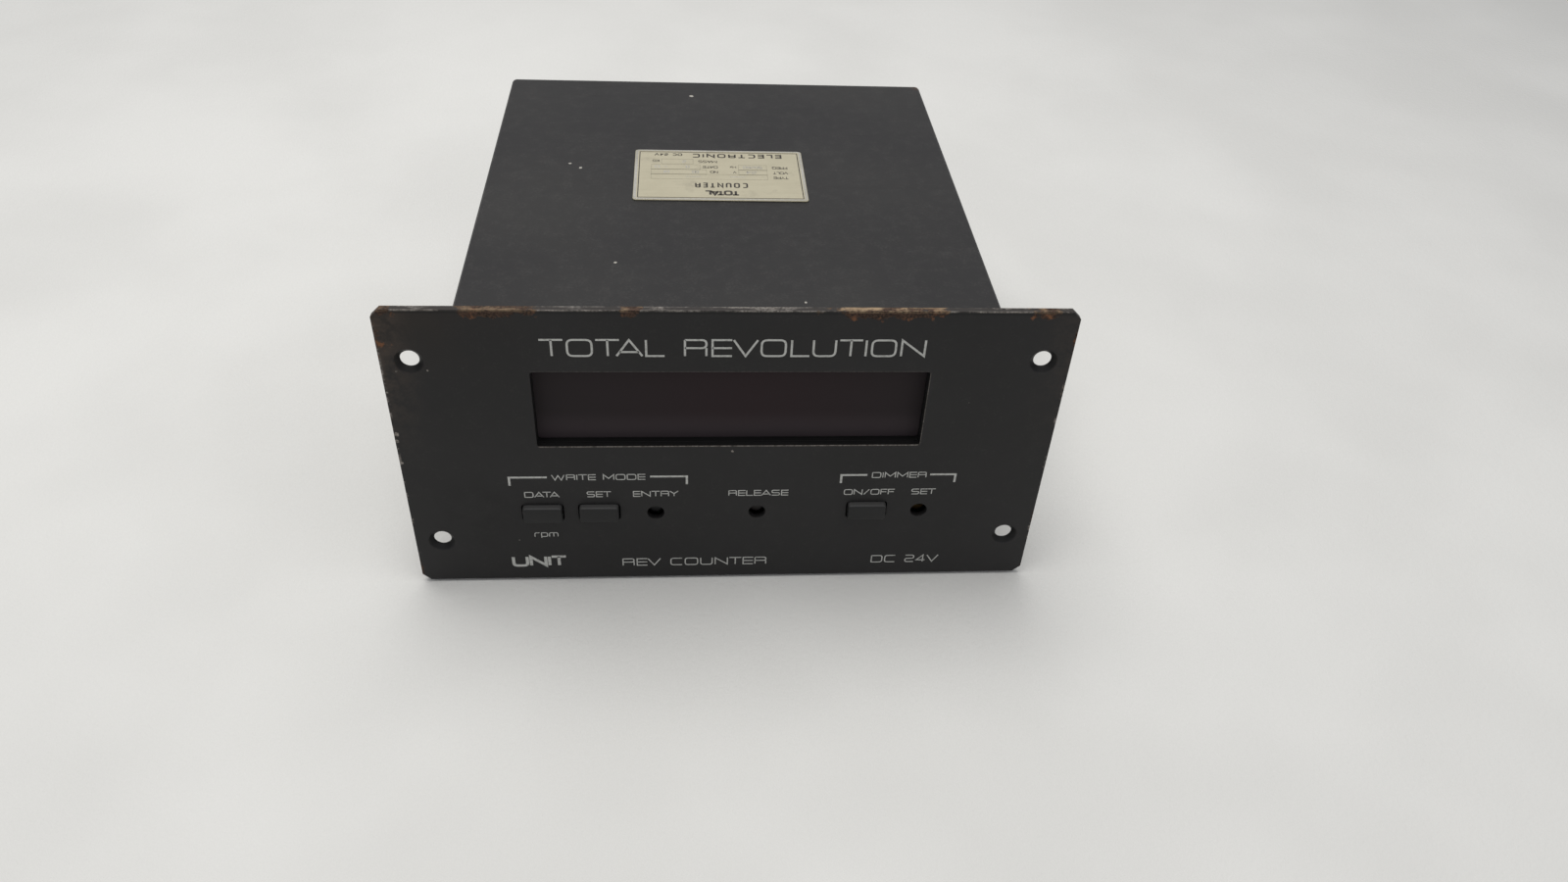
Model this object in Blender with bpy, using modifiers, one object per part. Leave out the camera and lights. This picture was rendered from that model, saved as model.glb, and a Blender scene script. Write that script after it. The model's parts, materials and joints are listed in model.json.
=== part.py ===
"""A panel-mounted revolution counter: a sheet-steel case behind a black front panel, with its
display, its controls, its boards and its rear terminals as separate pieces.

Inside the empty named counter, y is the depth behind the front panel's face and z is the height
above the panel's lower edge. The origin of the whole is under the middle of its bounding box."""

from math import cos, pi, radians, sin

import bmesh
import bpy
from mathutils import Matrix, Vector

# Front panel
PANEL_WIDTH = 0.200
PANEL_HEIGHT = 0.1056
PANEL_THICKNESS = 0.0020
PANEL_CHAMFER = 0.0025
FIXING_SPACING_X = 0.1836
FIXING_SPACING_Z = 0.0706
FIXING_RADIUS = 0.00275
COUNTERSINK_RADIUS = 0.0043

# Display window
WINDOW_WIDTH = 0.117
WINDOW_HEIGHT = 0.028
WINDOW_CENTRE_Z = 0.0704
WINDOW_RECESS = 0.0048
FILTER_THICKNESS = 0.0020
FRAME_MARGIN = 0.0065

# Controls
CONTROL_Z = 0.0294
ACCESS_Z = 0.0289
BUTTON_WIDTH = 0.0124
BUTTON_HEIGHT = 0.0062
BUTTON_GAP = 0.00045
BUTTON_PROUD = 0.0019
DATA_X = -0.0589
SET_X = -0.0412
ENTRY_X = -0.0234
RELEASE_X = 0.0089
DIMMER_X = 0.0443
TRIMMER_X = 0.0615
ACCESS_RADIUS = 0.00275
PLUNGER_RECESS = 0.0025
PLUNGER_RADIUS = 0.0022
ROTOR_RECESS = 0.0030
ROTOR_RADIUS = 0.0021
WELL_WIDTH = 0.005
WELL_DEPTH = 0.008

# Case
CASE_WIDTH = 0.162
CASE_TOP = 0.0976
CASE_BOTTOM = 0.0080
CASE_REAR = 0.1777
SHEET = 0.0012
BEND = 0.0018
REAR_LIP = 0.0070
FLANGE_HEIGHT = 0.0120
EAR_WIDTH = 0.0120
EAR_DEPTH = 0.0140
EAR_TOP = 0.0940
REAR_PLATE = 0.0015

# Fixings and boards
GAP = 0.0003
SCREW_RADIUS = 0.0015
SCREW_HOLE = 0.0018
STUD_X = 0.0735
STUD_Z = (0.0160, 0.0890)
STUD_END = 0.0215
BOARD_THICKNESS = 0.0016
DISPLAY_BOARD_FRONT = 0.0166
MAIN_BOARD_Z = 0.0239
MAIN_BOARD_Y = (0.034, 0.162)
MAIN_BOARD_X = 0.070
BOSS_X = 0.064
BOSS_Y = (0.040, 0.156)
COVER_SCREW_Y = (0.045, 0.140)
COVER_SCREW_Z = 0.0145
REAR_SCREW_X = 0.060
REAR_SCREW_Z = (0.0135, 0.0938)

# Rear fittings
POLES = 6
POLE_PITCH = 0.0100
TERMINAL_X = -0.028
TERMINAL_Z = 0.034
TERMINAL_HEIGHT = 0.022
TERMINAL_END = 0.007
TERMINAL_BASE = 0.0090
TERMINAL_INNER = 0.0080
TERMINAL_DEPTH = 0.0050
BARRIER_HEIGHT = 0.0060
FUSE_X = 0.050
FUSE_Z = 0.036
FUSE_BARREL = 0.0059
EARTH_X = 0.069
EARTH_RADIUS = 0.0020
NAMEPLATE = (0.0590, 0.0369, 0.0004)
NAMEPLATE_X = -0.0015
NAMEPLATE_Y = 0.0968

# What follows from the sizes above
LEAST_GAP = 0.0001
THROUGH = 0.010
PANEL_BACK = PANEL_THICKNESS + GAP
EAR_BACK = PANEL_BACK + SHEET
REAR_PANEL_FRONT = CASE_REAR - SHEET - GAP - REAR_PLATE
REAR_FACE = REAR_PANEL_FRONT + REAR_PLATE
REAR_SEAT = REAR_FACE + GAP
TERMINAL_REAR = REAR_SEAT + TERMINAL_BASE + BARRIER_HEIGHT
BOARD_TOP = MAIN_BOARD_Z + BOARD_THICKNESS + GAP
CASE_INSIDE_X = CASE_WIDTH / 2 - SHEET
TRAY_X = CASE_INSIDE_X - GAP
FRONT_Y = BUTTON_PROUD - (BUTTON_PROUD + TERMINAL_REAR) / 2

TOWARDS_FRONT = (pi / 2, 0, 0)
TOWARDS_REAR = (pi / 2, 0, pi)
TOWARDS_RIGHT = (0, pi / 2, 0)
TOWARDS_LEFT = (0, -pi / 2, 0)
UPRIGHT = (0, 0, 0)


def clear_scene():
    for obj in list(bpy.data.objects):
        bpy.data.objects.remove(obj)


def collection(name):
    made = bpy.data.collections.new(name)
    bpy.context.scene.collection.children.link(made)
    return made


def finish(name, colour, roughness, metallic=0.0):
    made = bpy.data.materials.new(name)
    made.use_nodes = True
    shader = made.node_tree.nodes["Principled BSDF"]
    shader.inputs["Base Color"].default_value = (*colour, 1)
    shader.inputs["Roughness"].default_value = roughness
    shader.inputs["Metallic"].default_value = metallic
    return made


clear_scene()
PARTS = collection("revolution_counter")
CUTTERS = collection("cutters")
COUNTER = bpy.data.objects.new("counter", None)
COUNTER.location = (0, FRONT_Y, 0)
PARTS.objects.link(COUNTER)

PANEL_BLACK = finish("panel_black", (0.024, 0.023, 0.023), 0.55)
CASE_BLACK = finish("case_black", (0.045, 0.045, 0.047), 0.45)
ZINC = finish("zinc_plate", (0.55, 0.54, 0.50), 0.38, 1.0)
FRAME_BLACK = finish("frame_black", (0.012, 0.012, 0.013), 0.6)
FILTER_RED = finish("filter_red", (0.035, 0.008, 0.009), 0.12)
BUTTON_BLACK = finish("button_black", (0.028, 0.028, 0.029), 0.42)
SWITCH_GREY = finish("switch_grey", (0.06, 0.06, 0.065), 0.5)
RELEASE_RED = finish("release_red", (0.10, 0.012, 0.010), 0.45)
TRIMMER_BLUE = finish("trimmer_blue", (0.03, 0.10, 0.32), 0.4)
BRASS = finish("brass", (0.62, 0.44, 0.18), 0.3, 1.0)
BOARD_GREEN = finish("board_green", (0.02, 0.13, 0.06), 0.4)
DIGIT_GREY = finish("digit_grey", (0.10, 0.09, 0.09), 0.35)
SCREW_STEEL = finish("screw_steel", (0.60, 0.60, 0.58), 0.3, 1.0)
TERMINAL_BLACK = finish("terminal_black", (0.015, 0.015, 0.016), 0.5)
PLATE_METAL = finish("plate_metal", (0.52, 0.48, 0.38), 0.35, 1.0)
CHIP_BLACK = finish("chip_black", (0.02, 0.02, 0.022), 0.55)
CAN_STEEL = finish("can_steel", (0.58, 0.58, 0.60), 0.25, 1.0)
BATTERY_GREEN = finish("battery_green", (0.05, 0.22, 0.10), 0.35)
SLEEVE_BLUE = finish("sleeve_blue", (0.03, 0.06, 0.20), 0.35)
FIN_BLACK = finish("fin_black", (0.02, 0.02, 0.022), 0.5, 0.6)
RIBBON_GREY = finish("ribbon_grey", (0.42, 0.43, 0.44), 0.5)
LOOM_BLACK = finish("loom_black", (0.02, 0.02, 0.02), 0.6)
FUSE_GLASS = finish("fuse_glass", (0.75, 0.80, 0.80), 0.08)


def add(name, mesh, material, place, rotation=UPRIGHT):
    """One piece of the counter, at a place behind the panel's face."""
    piece = bpy.data.objects.new(name, mesh)
    mesh.materials.clear()
    mesh.materials.append(material)
    mesh.shade_smooth()
    mesh.set_sharp_from_angle(angle=radians(32))
    piece.location = place
    piece.rotation_euler = rotation
    piece.parent = COUNTER
    PARTS.objects.link(piece)
    return piece


def helper(name, mesh, place, rotation=UPRIGHT):
    """A shape that only cuts or joins another."""
    tool = bpy.data.objects.new(name, mesh)
    tool.location = place
    tool.rotation_euler = rotation
    tool.parent = COUNTER
    tool.hide_render = True
    tool.display_type = "WIRE"
    CUTTERS.objects.link(tool)
    return tool


def combine(piece, operation, tool):
    boolean = piece.modifiers.new(operation.lower() + "_" + tool.name, "BOOLEAN")
    boolean.operation = operation
    boolean.solver = "EXACT"
    boolean.object = tool


def pierce(piece, outlines):
    """Cuts holes with these outlines right through a plate."""
    mesh = plate(piece.name + "_holes", outlines, THROUGH)
    tool = helper(piece.name + "_holes", mesh, piece.location, piece.rotation_euler)
    combine(piece, "DIFFERENCE", tool)


def mesh_of(name, shape):
    bmesh.ops.recalc_face_normals(shape, faces=shape.faces)
    mesh = bpy.data.meshes.new(name)
    shape.to_mesh(mesh)
    shape.free()
    return mesh


def box(name, size, edge=0.0, segments=1):
    """A box centred on its origin, its edges rounded by edge."""
    shape = bmesh.new()
    bmesh.ops.create_cube(shape, size=1, matrix=Matrix.Diagonal((*size, 1)))
    if edge:
        bmesh.ops.bevel(
            shape, geom=shape.edges, offset=edge, segments=segments, profile=0.5, affect="EDGES"
        )
    return mesh_of(name, shape)


def rod(name, radius, length, sides=16, end_radius=None):
    """A cylinder or cone that stands on its origin along z."""
    shape = bmesh.new()
    bmesh.ops.create_cone(
        shape,
        cap_ends=True,
        segments=sides,
        radius1=radius,
        radius2=radius if end_radius is None else end_radius,
        depth=length,
        matrix=Matrix.Translation((0, 0, length / 2)),
    )
    return mesh_of(name, shape)


def arc(centre, radius, start, end, steps):
    turns = [start + (end - start) * i / steps for i in range(steps + 1)]
    return [(centre[0] + radius * cos(a), centre[1] + radius * sin(a)) for a in turns]


def circle(x, y, radius, sides=20):
    return arc((x, y), radius, 0, 2 * pi * (sides - 1) / sides, sides - 1)


def rectangle(x, y, width, height, corner, steps=3):
    """A rectangle's outline with round corners, counter-clockwise round its middle."""
    across = width / 2 - corner
    up = height / 2 - corner
    middles = ((across, up), (-across, up), (-across, -up), (across, -up))
    points = []
    for quarter, (dx, dy) in enumerate(middles):
        start = quarter * pi / 2
        points += arc((x + dx, y + dy), corner, start, start + pi / 2, steps)
    return points


def plate(name, outlines, thickness):
    """Flat plates from their outlines, an inner outline being a hole, with their middle at z = 0."""
    curve = bpy.data.curves.new(name + "_outline", "CURVE")
    curve.dimensions = "2D"
    curve.fill_mode = "BOTH"
    curve.extrude = thickness / 2
    for outline in outlines:
        spline = curve.splines.new("POLY")
        spline.points.add(len(outline) - 1)
        for point, (x, y) in zip(spline.points, outline):
            point.co = (x, y, 0, 1)
        spline.use_cyclic_u = True
    guide = bpy.data.objects.new(name + "_guide", curve)
    CUTTERS.objects.link(guide)
    graph = bpy.context.evaluated_depsgraph_get()
    flat = bpy.data.meshes.new_from_object(guide.evaluated_get(graph))
    bpy.data.objects.remove(guide)
    bpy.data.curves.remove(curve)
    shape = bmesh.new()
    shape.from_mesh(flat)
    bpy.data.meshes.remove(flat)
    bmesh.ops.remove_doubles(shape, verts=shape.verts, dist=1e-6)
    return mesh_of(name, shape)


def key(name, width, height, depth, corner, edge):
    """A key from z = 0 to z = depth, with a rounded rim on its upper face."""
    shape = bmesh.new()
    rim = [shape.verts.new((x, y, 0)) for x, y in rectangle(0, 0, width, height, corner)]
    foot = shape.faces.new(rim)
    raised = bmesh.ops.extrude_face_region(shape, geom=[foot])["geom"]
    top = [item for item in raised if isinstance(item, bmesh.types.BMFace)][0]
    bmesh.ops.translate(shape, vec=(0, 0, depth), verts=top.verts)
    bmesh.ops.bevel(
        shape, geom=list(top.edges), offset=edge, segments=2, profile=0.6, affect="EDGES"
    )
    return mesh_of(name, shape)


def turned(name, profile, material, place, rotation, sides=20):
    """A piece turned about its own z axis, from (radius, height) points that run down its outside."""
    shape = bmesh.new()
    points = [shape.verts.new((radius, 0, height)) for radius, height in profile]
    for upper, lower in zip(points, points[1:]):
        shape.edges.new((upper, lower))
    mesh = bpy.data.meshes.new(name)
    shape.to_mesh(mesh)
    shape.free()
    piece = add(name, mesh, material, place, rotation)
    screw = piece.modifiers.new("turn", "SCREW")
    screw.steps = sides
    screw.render_steps = sides
    screw.use_merge_vertices = True
    screw.merge_threshold = 1e-6
    screw.use_smooth_shade = True
    return piece


def ring_profile(outer, inner, length):
    return [(inner, length), (outer, length), (outer, 0), (inner, 0), (inner, length)]


def sheet_box(lower, upper):
    """The six walls between two corners, as one open-ended surface to cut."""
    shape = bmesh.new()
    size = [b - a for a, b in zip(lower, upper)]
    middle = [(a + b) / 2 for a, b in zip(lower, upper)]
    matrix = Matrix.Translation(middle) @ Matrix.Diagonal((*size, 1))
    bmesh.ops.create_cube(shape, size=1, matrix=matrix)
    shape.normal_update()
    return shape


def walls(shape, facing):
    return [face for face in shape.faces if face.normal.dot(Vector(facing)) > 0.9]


def split(shape, facing, point, normal):
    """Cuts the walls that face one way along a plane."""
    faces = walls(shape, facing)
    edges = {edge for face in faces for edge in face.edges}
    bmesh.ops.bisect_plane(
        shape, geom=faces + list(edges), dist=1e-7, plane_co=point, plane_no=normal
    )


def drop(shape, facing, unwanted):
    """Removes the walls facing one way whose middle the test picks."""
    gone = [face for face in walls(shape, facing) if unwanted(face.calc_center_median())]
    bmesh.ops.delete(shape, geom=gone, context="FACES")


def fold(name, shape, radius):
    """Rounds the bends between the walls that are left."""
    bends = [
        edge
        for edge in shape.edges
        if len(edge.link_faces) == 2 and edge.calc_face_angle(0) > radians(45)
    ]
    bmesh.ops.bevel(shape, geom=bends, offset=radius, segments=3, profile=0.5, affect="EDGES")
    mesh = bpy.data.meshes.new(name)
    shape.to_mesh(mesh)
    shape.free()
    return mesh


def add_sheet(name, mesh, material):
    """A folded sheet whose surface is its outer side."""
    piece = add(name, mesh, material, (0, 0, 0))
    wall = piece.modifiers.new("sheet", "SOLIDIFY")
    wall.thickness = SHEET
    wall.offset = -1
    wall.use_even_offset = True
    return piece


def corners_of(x, rows):
    """A place on the left and one on the right in each row."""
    return [(side * x, row) for row in rows for side in (-1, 1)]


def front_panel():
    """The black plate: window, button and access holes, countersunk fixings, studs behind."""
    middle = PANEL_HEIGHT / 2
    hole_width = BUTTON_WIDTH + 2 * BUTTON_GAP
    hole_height = BUTTON_HEIGHT + 2 * BUTTON_GAP
    fixings = corners_of(
        FIXING_SPACING_X / 2, (middle - FIXING_SPACING_Z / 2, middle + FIXING_SPACING_Z / 2)
    )
    outline = rectangle(0, middle, PANEL_WIDTH, PANEL_HEIGHT, PANEL_CHAMFER, 1)
    mesh = plate("front_panel", [outline], PANEL_THICKNESS)
    panel = add("front_panel", mesh, PANEL_BLACK, (0, PANEL_THICKNESS / 2, 0), TOWARDS_FRONT)
    holes = [rectangle(0, WINDOW_CENTRE_Z, WINDOW_WIDTH, WINDOW_HEIGHT, 0.0008, 2)]
    for x in (DATA_X, SET_X, DIMMER_X):
        holes.append(rectangle(x, CONTROL_Z, hole_width, hole_height, 0.0012))
    for x in (ENTRY_X, RELEASE_X, TRIMMER_X):
        holes.append(circle(x, ACCESS_Z, ACCESS_RADIUS, 24))
    for x, z in fixings:
        holes.append(circle(x, z, FIXING_RADIUS, 24))
    pierce(panel, holes)
    depth = COUNTERSINK_RADIUS - FIXING_RADIUS
    over = 0.0002
    for number, (x, z) in enumerate(fixings, 1):
        mesh = rod("countersink", FIXING_RADIUS - over, depth + 2 * over, 24, COUNTERSINK_RADIUS + over)
        place = (x, depth + over, z)
        combine(panel, "DIFFERENCE", helper(f"countersink_{number}", mesh, place, TOWARDS_FRONT))
    for number, (x, z) in enumerate(corners_of(STUD_X, STUD_Z), 1):
        start = PANEL_THICKNESS / 2
        mesh = rod("stud", SCREW_RADIUS, STUD_END - start, 12)
        combine(panel, "UNION", helper(f"stud_{number}", mesh, (x, start, z), TOWARDS_REAR))


def window():
    """The frame that sets the red filter back from the panel's face, and the filter."""
    width = WINDOW_WIDTH + 2 * FRAME_MARGIN
    height = WINDOW_HEIGHT + 2 * FRAME_MARGIN
    thickness = WINDOW_RECESS - GAP - PANEL_BACK
    outlines = [
        rectangle(0, 0, width, height, 0.002),
        rectangle(0, 0, WINDOW_WIDTH, WINDOW_HEIGHT, 0.0008, 2),
    ]
    mesh = plate("window_frame", outlines, thickness)
    place = (0, PANEL_BACK + thickness / 2, WINDOW_CENTRE_Z)
    add("window_frame", mesh, FRAME_BLACK, place, TOWARDS_FRONT)
    inset = 0.002
    outline = rectangle(0, 0, width - 2 * inset, height - 2 * inset, 0.001, 2)
    mesh = plate("window_filter", [outline], FILTER_THICKNESS)
    place = (0, WINDOW_RECESS + FILTER_THICKNESS / 2, WINDOW_CENTRE_Z)
    add("window_filter", mesh, FILTER_RED, place, TOWARDS_FRONT)


def button(name, x):
    """A key with a flange behind the panel and a stem that enters its switch."""
    flange = 0.0012
    flange_reach = 0.0011
    middle = PANEL_THICKNESS + 0.0005 + flange / 2
    corner = 0.001
    edge = 0.0007
    cap = key(name, BUTTON_WIDTH, BUTTON_HEIGHT, BUTTON_PROUD + middle, corner, edge)
    rest = (x, middle, CONTROL_Z)
    piece = add(name, cap, BUTTON_BLACK, rest, TOWARDS_FRONT)
    size = (BUTTON_WIDTH + 2 * flange_reach, BUTTON_HEIGHT + 2 * flange_reach, flange)
    mesh = box("flange", size)
    combine(piece, "UNION", helper(name + "_flange", mesh, rest, TOWARDS_FRONT))
    stem = 0.004
    stem_end = 0.0118
    mesh = box("stem", (stem, stem, stem_end - middle))
    place = (x, (middle + stem_end) / 2, CONTROL_Z)
    combine(piece, "UNION", helper(name + "_stem", mesh, place, TOWARDS_FRONT))


def switch(name, x, z, side, thickness, well):
    """A square switch on the display board, with an open well for what presses it."""
    back = DISPLAY_BOARD_FRONT - GAP
    edge = 0.0006
    mesh = box(name, (side, side, thickness), edge)
    body = add(name, mesh, SWITCH_GREY, (x, back - thickness / 2, z), TOWARDS_FRONT)
    floor = 0.0012
    place = (x, back - floor, z)
    combine(body, "DIFFERENCE", helper(name + "_well", well, place, TOWARDS_FRONT))
    return body


def controls():
    """Three buttons, two recessed plungers and a trimmer, each with its switch behind it."""
    for name, x in (("data", DATA_X), ("set", SET_X), ("dimmer", DIMMER_X)):
        button(name + "_button", x)
        well = key("well", WELL_WIDTH, WELL_WIDTH, WELL_DEPTH, 0.0004, 0.0001)
        switch(name + "_switch", x, CONTROL_Z, 0.0124, 0.0060, well)
    for name, x, material in (
        ("entry", ENTRY_X, BUTTON_BLACK),
        ("release", RELEASE_X, RELEASE_RED),
    ):
        end = 0.0127
        length = end - PLUNGER_RECESS
        crown = 0.0005
        profile = [
            (0, length),
            (PLUNGER_RADIUS - crown, length),
            (PLUNGER_RADIUS, length - crown),
            (PLUNGER_RADIUS, 0),
            (0, 0),
        ]
        turned(name + "_plunger", profile, material, (x, end, ACCESS_Z), TOWARDS_FRONT, 16)
        well = rod("well", PLUNGER_RADIUS + BUTTON_GAP, WELL_DEPTH)
        switch(name + "_switch", x, ACCESS_Z, 0.0080, 0.0050, well)
    well = rod("well", WELL_WIDTH / 2, WELL_DEPTH)
    trimmer = switch("dimmer_trimmer", TRIMMER_X, ACCESS_Z, 0.0095, 0.0050, well)
    trimmer.data.materials[0] = TRIMMER_BLUE
    end = 0.0136
    mesh = rod("trimmer_rotor", ROTOR_RADIUS, end - ROTOR_RECESS, 20)
    rotor = add("trimmer_rotor", mesh, BRASS, (TRIMMER_X, end, ACCESS_Z), TOWARDS_FRONT)
    slot_width = 0.0007
    slot_depth = 0.0010
    mesh = box("slot", (3 * ROTOR_RADIUS, slot_width, 2 * slot_depth))
    place = (TRIMMER_X, ROTOR_RECESS, ACCESS_Z)
    combine(rotor, "DIFFERENCE", helper("rotor_slot", mesh, place, TOWARDS_FRONT))


def display():
    """The board behind the panel, its digits, and the spacers and nuts on the panel's studs."""
    width = 0.152
    bottom = 0.0115
    top = 0.0930
    outline = rectangle(0, (bottom + top) / 2, width, top - bottom, 0.002, 2)
    mesh = plate("display_board", [outline], BOARD_THICKNESS)
    place = (0, DISPLAY_BOARD_FRONT + BOARD_THICKNESS / 2, 0)
    board = add("display_board", mesh, BOARD_GREEN, place, TOWARDS_FRONT)
    pierce(board, [circle(x, z, SCREW_HOLE, 12) for x, z in corners_of(STUD_X, STUD_Z)])
    digit = 0.0127
    block = 4 * digit
    height = 0.0190
    depth = 0.0080
    for number, side in enumerate((-1, 1), 1):
        mesh = box("led_digits", (block - 2 * LEAST_GAP, height, depth), GAP)
        x = side * block / 2
        place = (x, DISPLAY_BOARD_FRONT - GAP - depth / 2, WINDOW_CENTRE_Z)
        add(f"led_digits_{number}", mesh, DIGIT_GREY, place, TOWARDS_FRONT)
    spacer_start = EAR_BACK + GAP
    spacer = DISPLAY_BOARD_FRONT - GAP - spacer_start
    nut_start = DISPLAY_BOARD_FRONT + BOARD_THICKNESS + GAP
    outer = 0.0032
    nut = 0.0024
    for number, (x, z) in enumerate(corners_of(STUD_X, STUD_Z), 1):
        profile = ring_profile(outer, SCREW_HOLE, spacer)
        turned(f"display_spacer_{number}", profile, BRASS, (x, spacer_start, z), TOWARDS_REAR, 12)
        profile = ring_profile(outer, SCREW_HOLE, nut)
        turned(f"display_nut_{number}", profile, SCREW_STEEL, (x, nut_start, z), TOWARDS_REAR, 6)


def case_cover():
    """Top and sides in one folded sheet, with a lip turned in round its rear."""
    half = CASE_WIDTH / 2
    shape = sheet_box((-half, PANEL_BACK, CASE_BOTTOM), (half, CASE_REAR, CASE_TOP))
    drop(shape, (0, 0, -1), lambda middle: True)
    drop(shape, (0, -1, 0), lambda middle: True)
    inside = half - REAR_LIP
    under = CASE_TOP - REAR_LIP
    for side in (-1, 1):
        split(shape, (0, 1, 0), (side * inside, 0, 0), (1, 0, 0))
    split(shape, (0, 1, 0), (0, 0, under), (0, 0, 1))
    drop(shape, (0, 1, 0), lambda middle: abs(middle.x) < inside and middle.z < under)
    return add_sheet("case_cover", fold("case_cover", shape, BEND), CASE_BLACK)


def chassis_tray():
    """The floor with low side walls, a front flange with tall ears, and board pillars."""
    shape = sheet_box((-TRAY_X, PANEL_BACK, CASE_BOTTOM), (TRAY_X, REAR_PANEL_FRONT - GAP, EAR_TOP))
    drop(shape, (0, 0, 1), lambda middle: True)
    low = CASE_BOTTOM + FLANGE_HEIGHT
    inside = TRAY_X - EAR_WIDTH
    for side in (-1, 1):
        split(shape, (0, -1, 0), (side * inside, 0, 0), (1, 0, 0))
        split(shape, (side, 0, 0), (0, EAR_DEPTH, 0), (0, 1, 0))
        split(shape, (side, 0, 0), (0, 0, low), (0, 0, 1))
        drop(shape, (side, 0, 0), lambda middle: middle.y > EAR_DEPTH and middle.z > low)
    split(shape, (0, -1, 0), (0, 0, low), (0, 0, 1))
    drop(shape, (0, -1, 0), lambda middle: abs(middle.x) < inside and middle.z > low)
    split(shape, (0, 1, 0), (0, 0, low), (0, 0, 1))
    drop(shape, (0, 1, 0), lambda middle: middle.z > low)
    tray = add_sheet("chassis_tray", fold("chassis_tray", shape, 0.0016), ZINC)
    pillar_start = CASE_BOTTOM + SHEET / 2
    pillar = MAIN_BOARD_Z - GAP - pillar_start
    for number, (x, y) in enumerate(corners_of(BOSS_X, BOSS_Y), 1):
        mesh = rod("pillar", 2 * SCREW_RADIUS, pillar, 12)
        combine(tray, "UNION", helper(f"pillar_{number}", mesh, (x, y, pillar_start)))
    slot_x = 0.030
    slot_length = 0.036
    slot_width = 0.0035
    slot_rows = [0.060 + 0.012 * row for row in range(5)]
    slots = [
        rectangle(x, y, slot_length, slot_width, slot_width / 2 - LEAST_GAP / 10, 2)
        for x, y in corners_of(slot_x, slot_rows)
    ]
    mesh = plate("vents", slots, THROUGH)
    combine(tray, "DIFFERENCE", helper("vents", mesh, (0, 0, CASE_BOTTOM)))
    for number, (x, z) in enumerate(corners_of(STUD_X, STUD_Z), 1):
        mesh = rod("ear_hole", SCREW_HOLE, THROUGH, 12)
        place = (x, PANEL_BACK + (SHEET - THROUGH) / 2, z)
        combine(tray, "DIFFERENCE", helper(f"ear_hole_{number}", mesh, place, TOWARDS_REAR))
    return tray


def cover_screws(cover, tray):
    """Two screws in each side of the case, through the cover and into the tray's side walls."""
    number = 0
    for y in COVER_SCREW_Y:
        for side, rotation in ((-1, TOWARDS_LEFT), (1, TOWARDS_RIGHT)):
            number += 1
            mesh = rod("side_hole", SCREW_HOLE, THROUGH, 12)
            place = (side * (CASE_INSIDE_X - THROUGH / 2), y, COVER_SCREW_Z)
            hole = helper(f"side_hole_{number}", mesh, place, rotation)
            combine(cover, "DIFFERENCE", hole)
            combine(tray, "DIFFERENCE", hole)
            place = (side * (CASE_WIDTH / 2 + GAP), y, COVER_SCREW_Z)
            screw(f"cover_screw_{number}", place, rotation)


def screw(name, seat, rotation, length=0.0065):
    """A pan-head screw whose head stands on its seat."""
    head = 0.0027
    height = 0.0019
    profile = [
        (0, height),
        (head * 0.62, height),
        (head * 0.93, height * 0.68),
        (head, height * 0.3),
        (head, 0),
        (SCREW_RADIUS, 0),
        (SCREW_RADIUS, -length),
        (0, -length),
    ]
    return turned(name, profile, SCREW_STEEL, seat, rotation, 16)


def rear_panel(cover, tray):
    """The plate that closes the case and carries the terminals, the fuse and the earth screw."""
    bottom = CASE_BOTTOM + GAP
    top = CASE_TOP - SHEET - GAP
    opening = (POLES * POLE_PITCH + 0.002, TERMINAL_INNER + 0.002)
    barrel_hole = FUSE_BARREL + 0.0004
    outline = rectangle(0, (bottom + top) / 2, 2 * TRAY_X, top - bottom, 0.001, 2)
    mesh = plate("rear_panel", [outline], REAR_PLATE)
    place = (0, REAR_PANEL_FRONT + REAR_PLATE / 2, 0)
    panel = add("rear_panel", mesh, CASE_BLACK, place, TOWARDS_FRONT)
    holes = [
        rectangle(TERMINAL_X, TERMINAL_Z, *opening, 0.001, 2),
        circle(FUSE_X, FUSE_Z, barrel_hole, 20),
        circle(EARTH_X, FUSE_Z, EARTH_RADIUS + GAP, 12),
    ]
    holes += [circle(x, z, SCREW_HOLE, 12) for x, z in corners_of(REAR_SCREW_X, REAR_SCREW_Z)]
    pierce(panel, holes)
    for number, (x, z) in enumerate(corners_of(REAR_SCREW_X, REAR_SCREW_Z), 1):
        lower = z < CASE_TOP / 2
        mesh = rod("rear_hole", SCREW_HOLE, THROUGH, 12)
        place = (x, REAR_PANEL_FRONT - THROUGH / 2, z)
        hole = helper(f"rear_hole_{number}", mesh, place, TOWARDS_REAR)
        combine(tray if lower else cover, "DIFFERENCE", hole)
        seat = REAR_SEAT if lower else CASE_REAR + GAP
        screw(f"rear_screw_{number}", (x, seat, z), TOWARDS_REAR)


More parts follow.
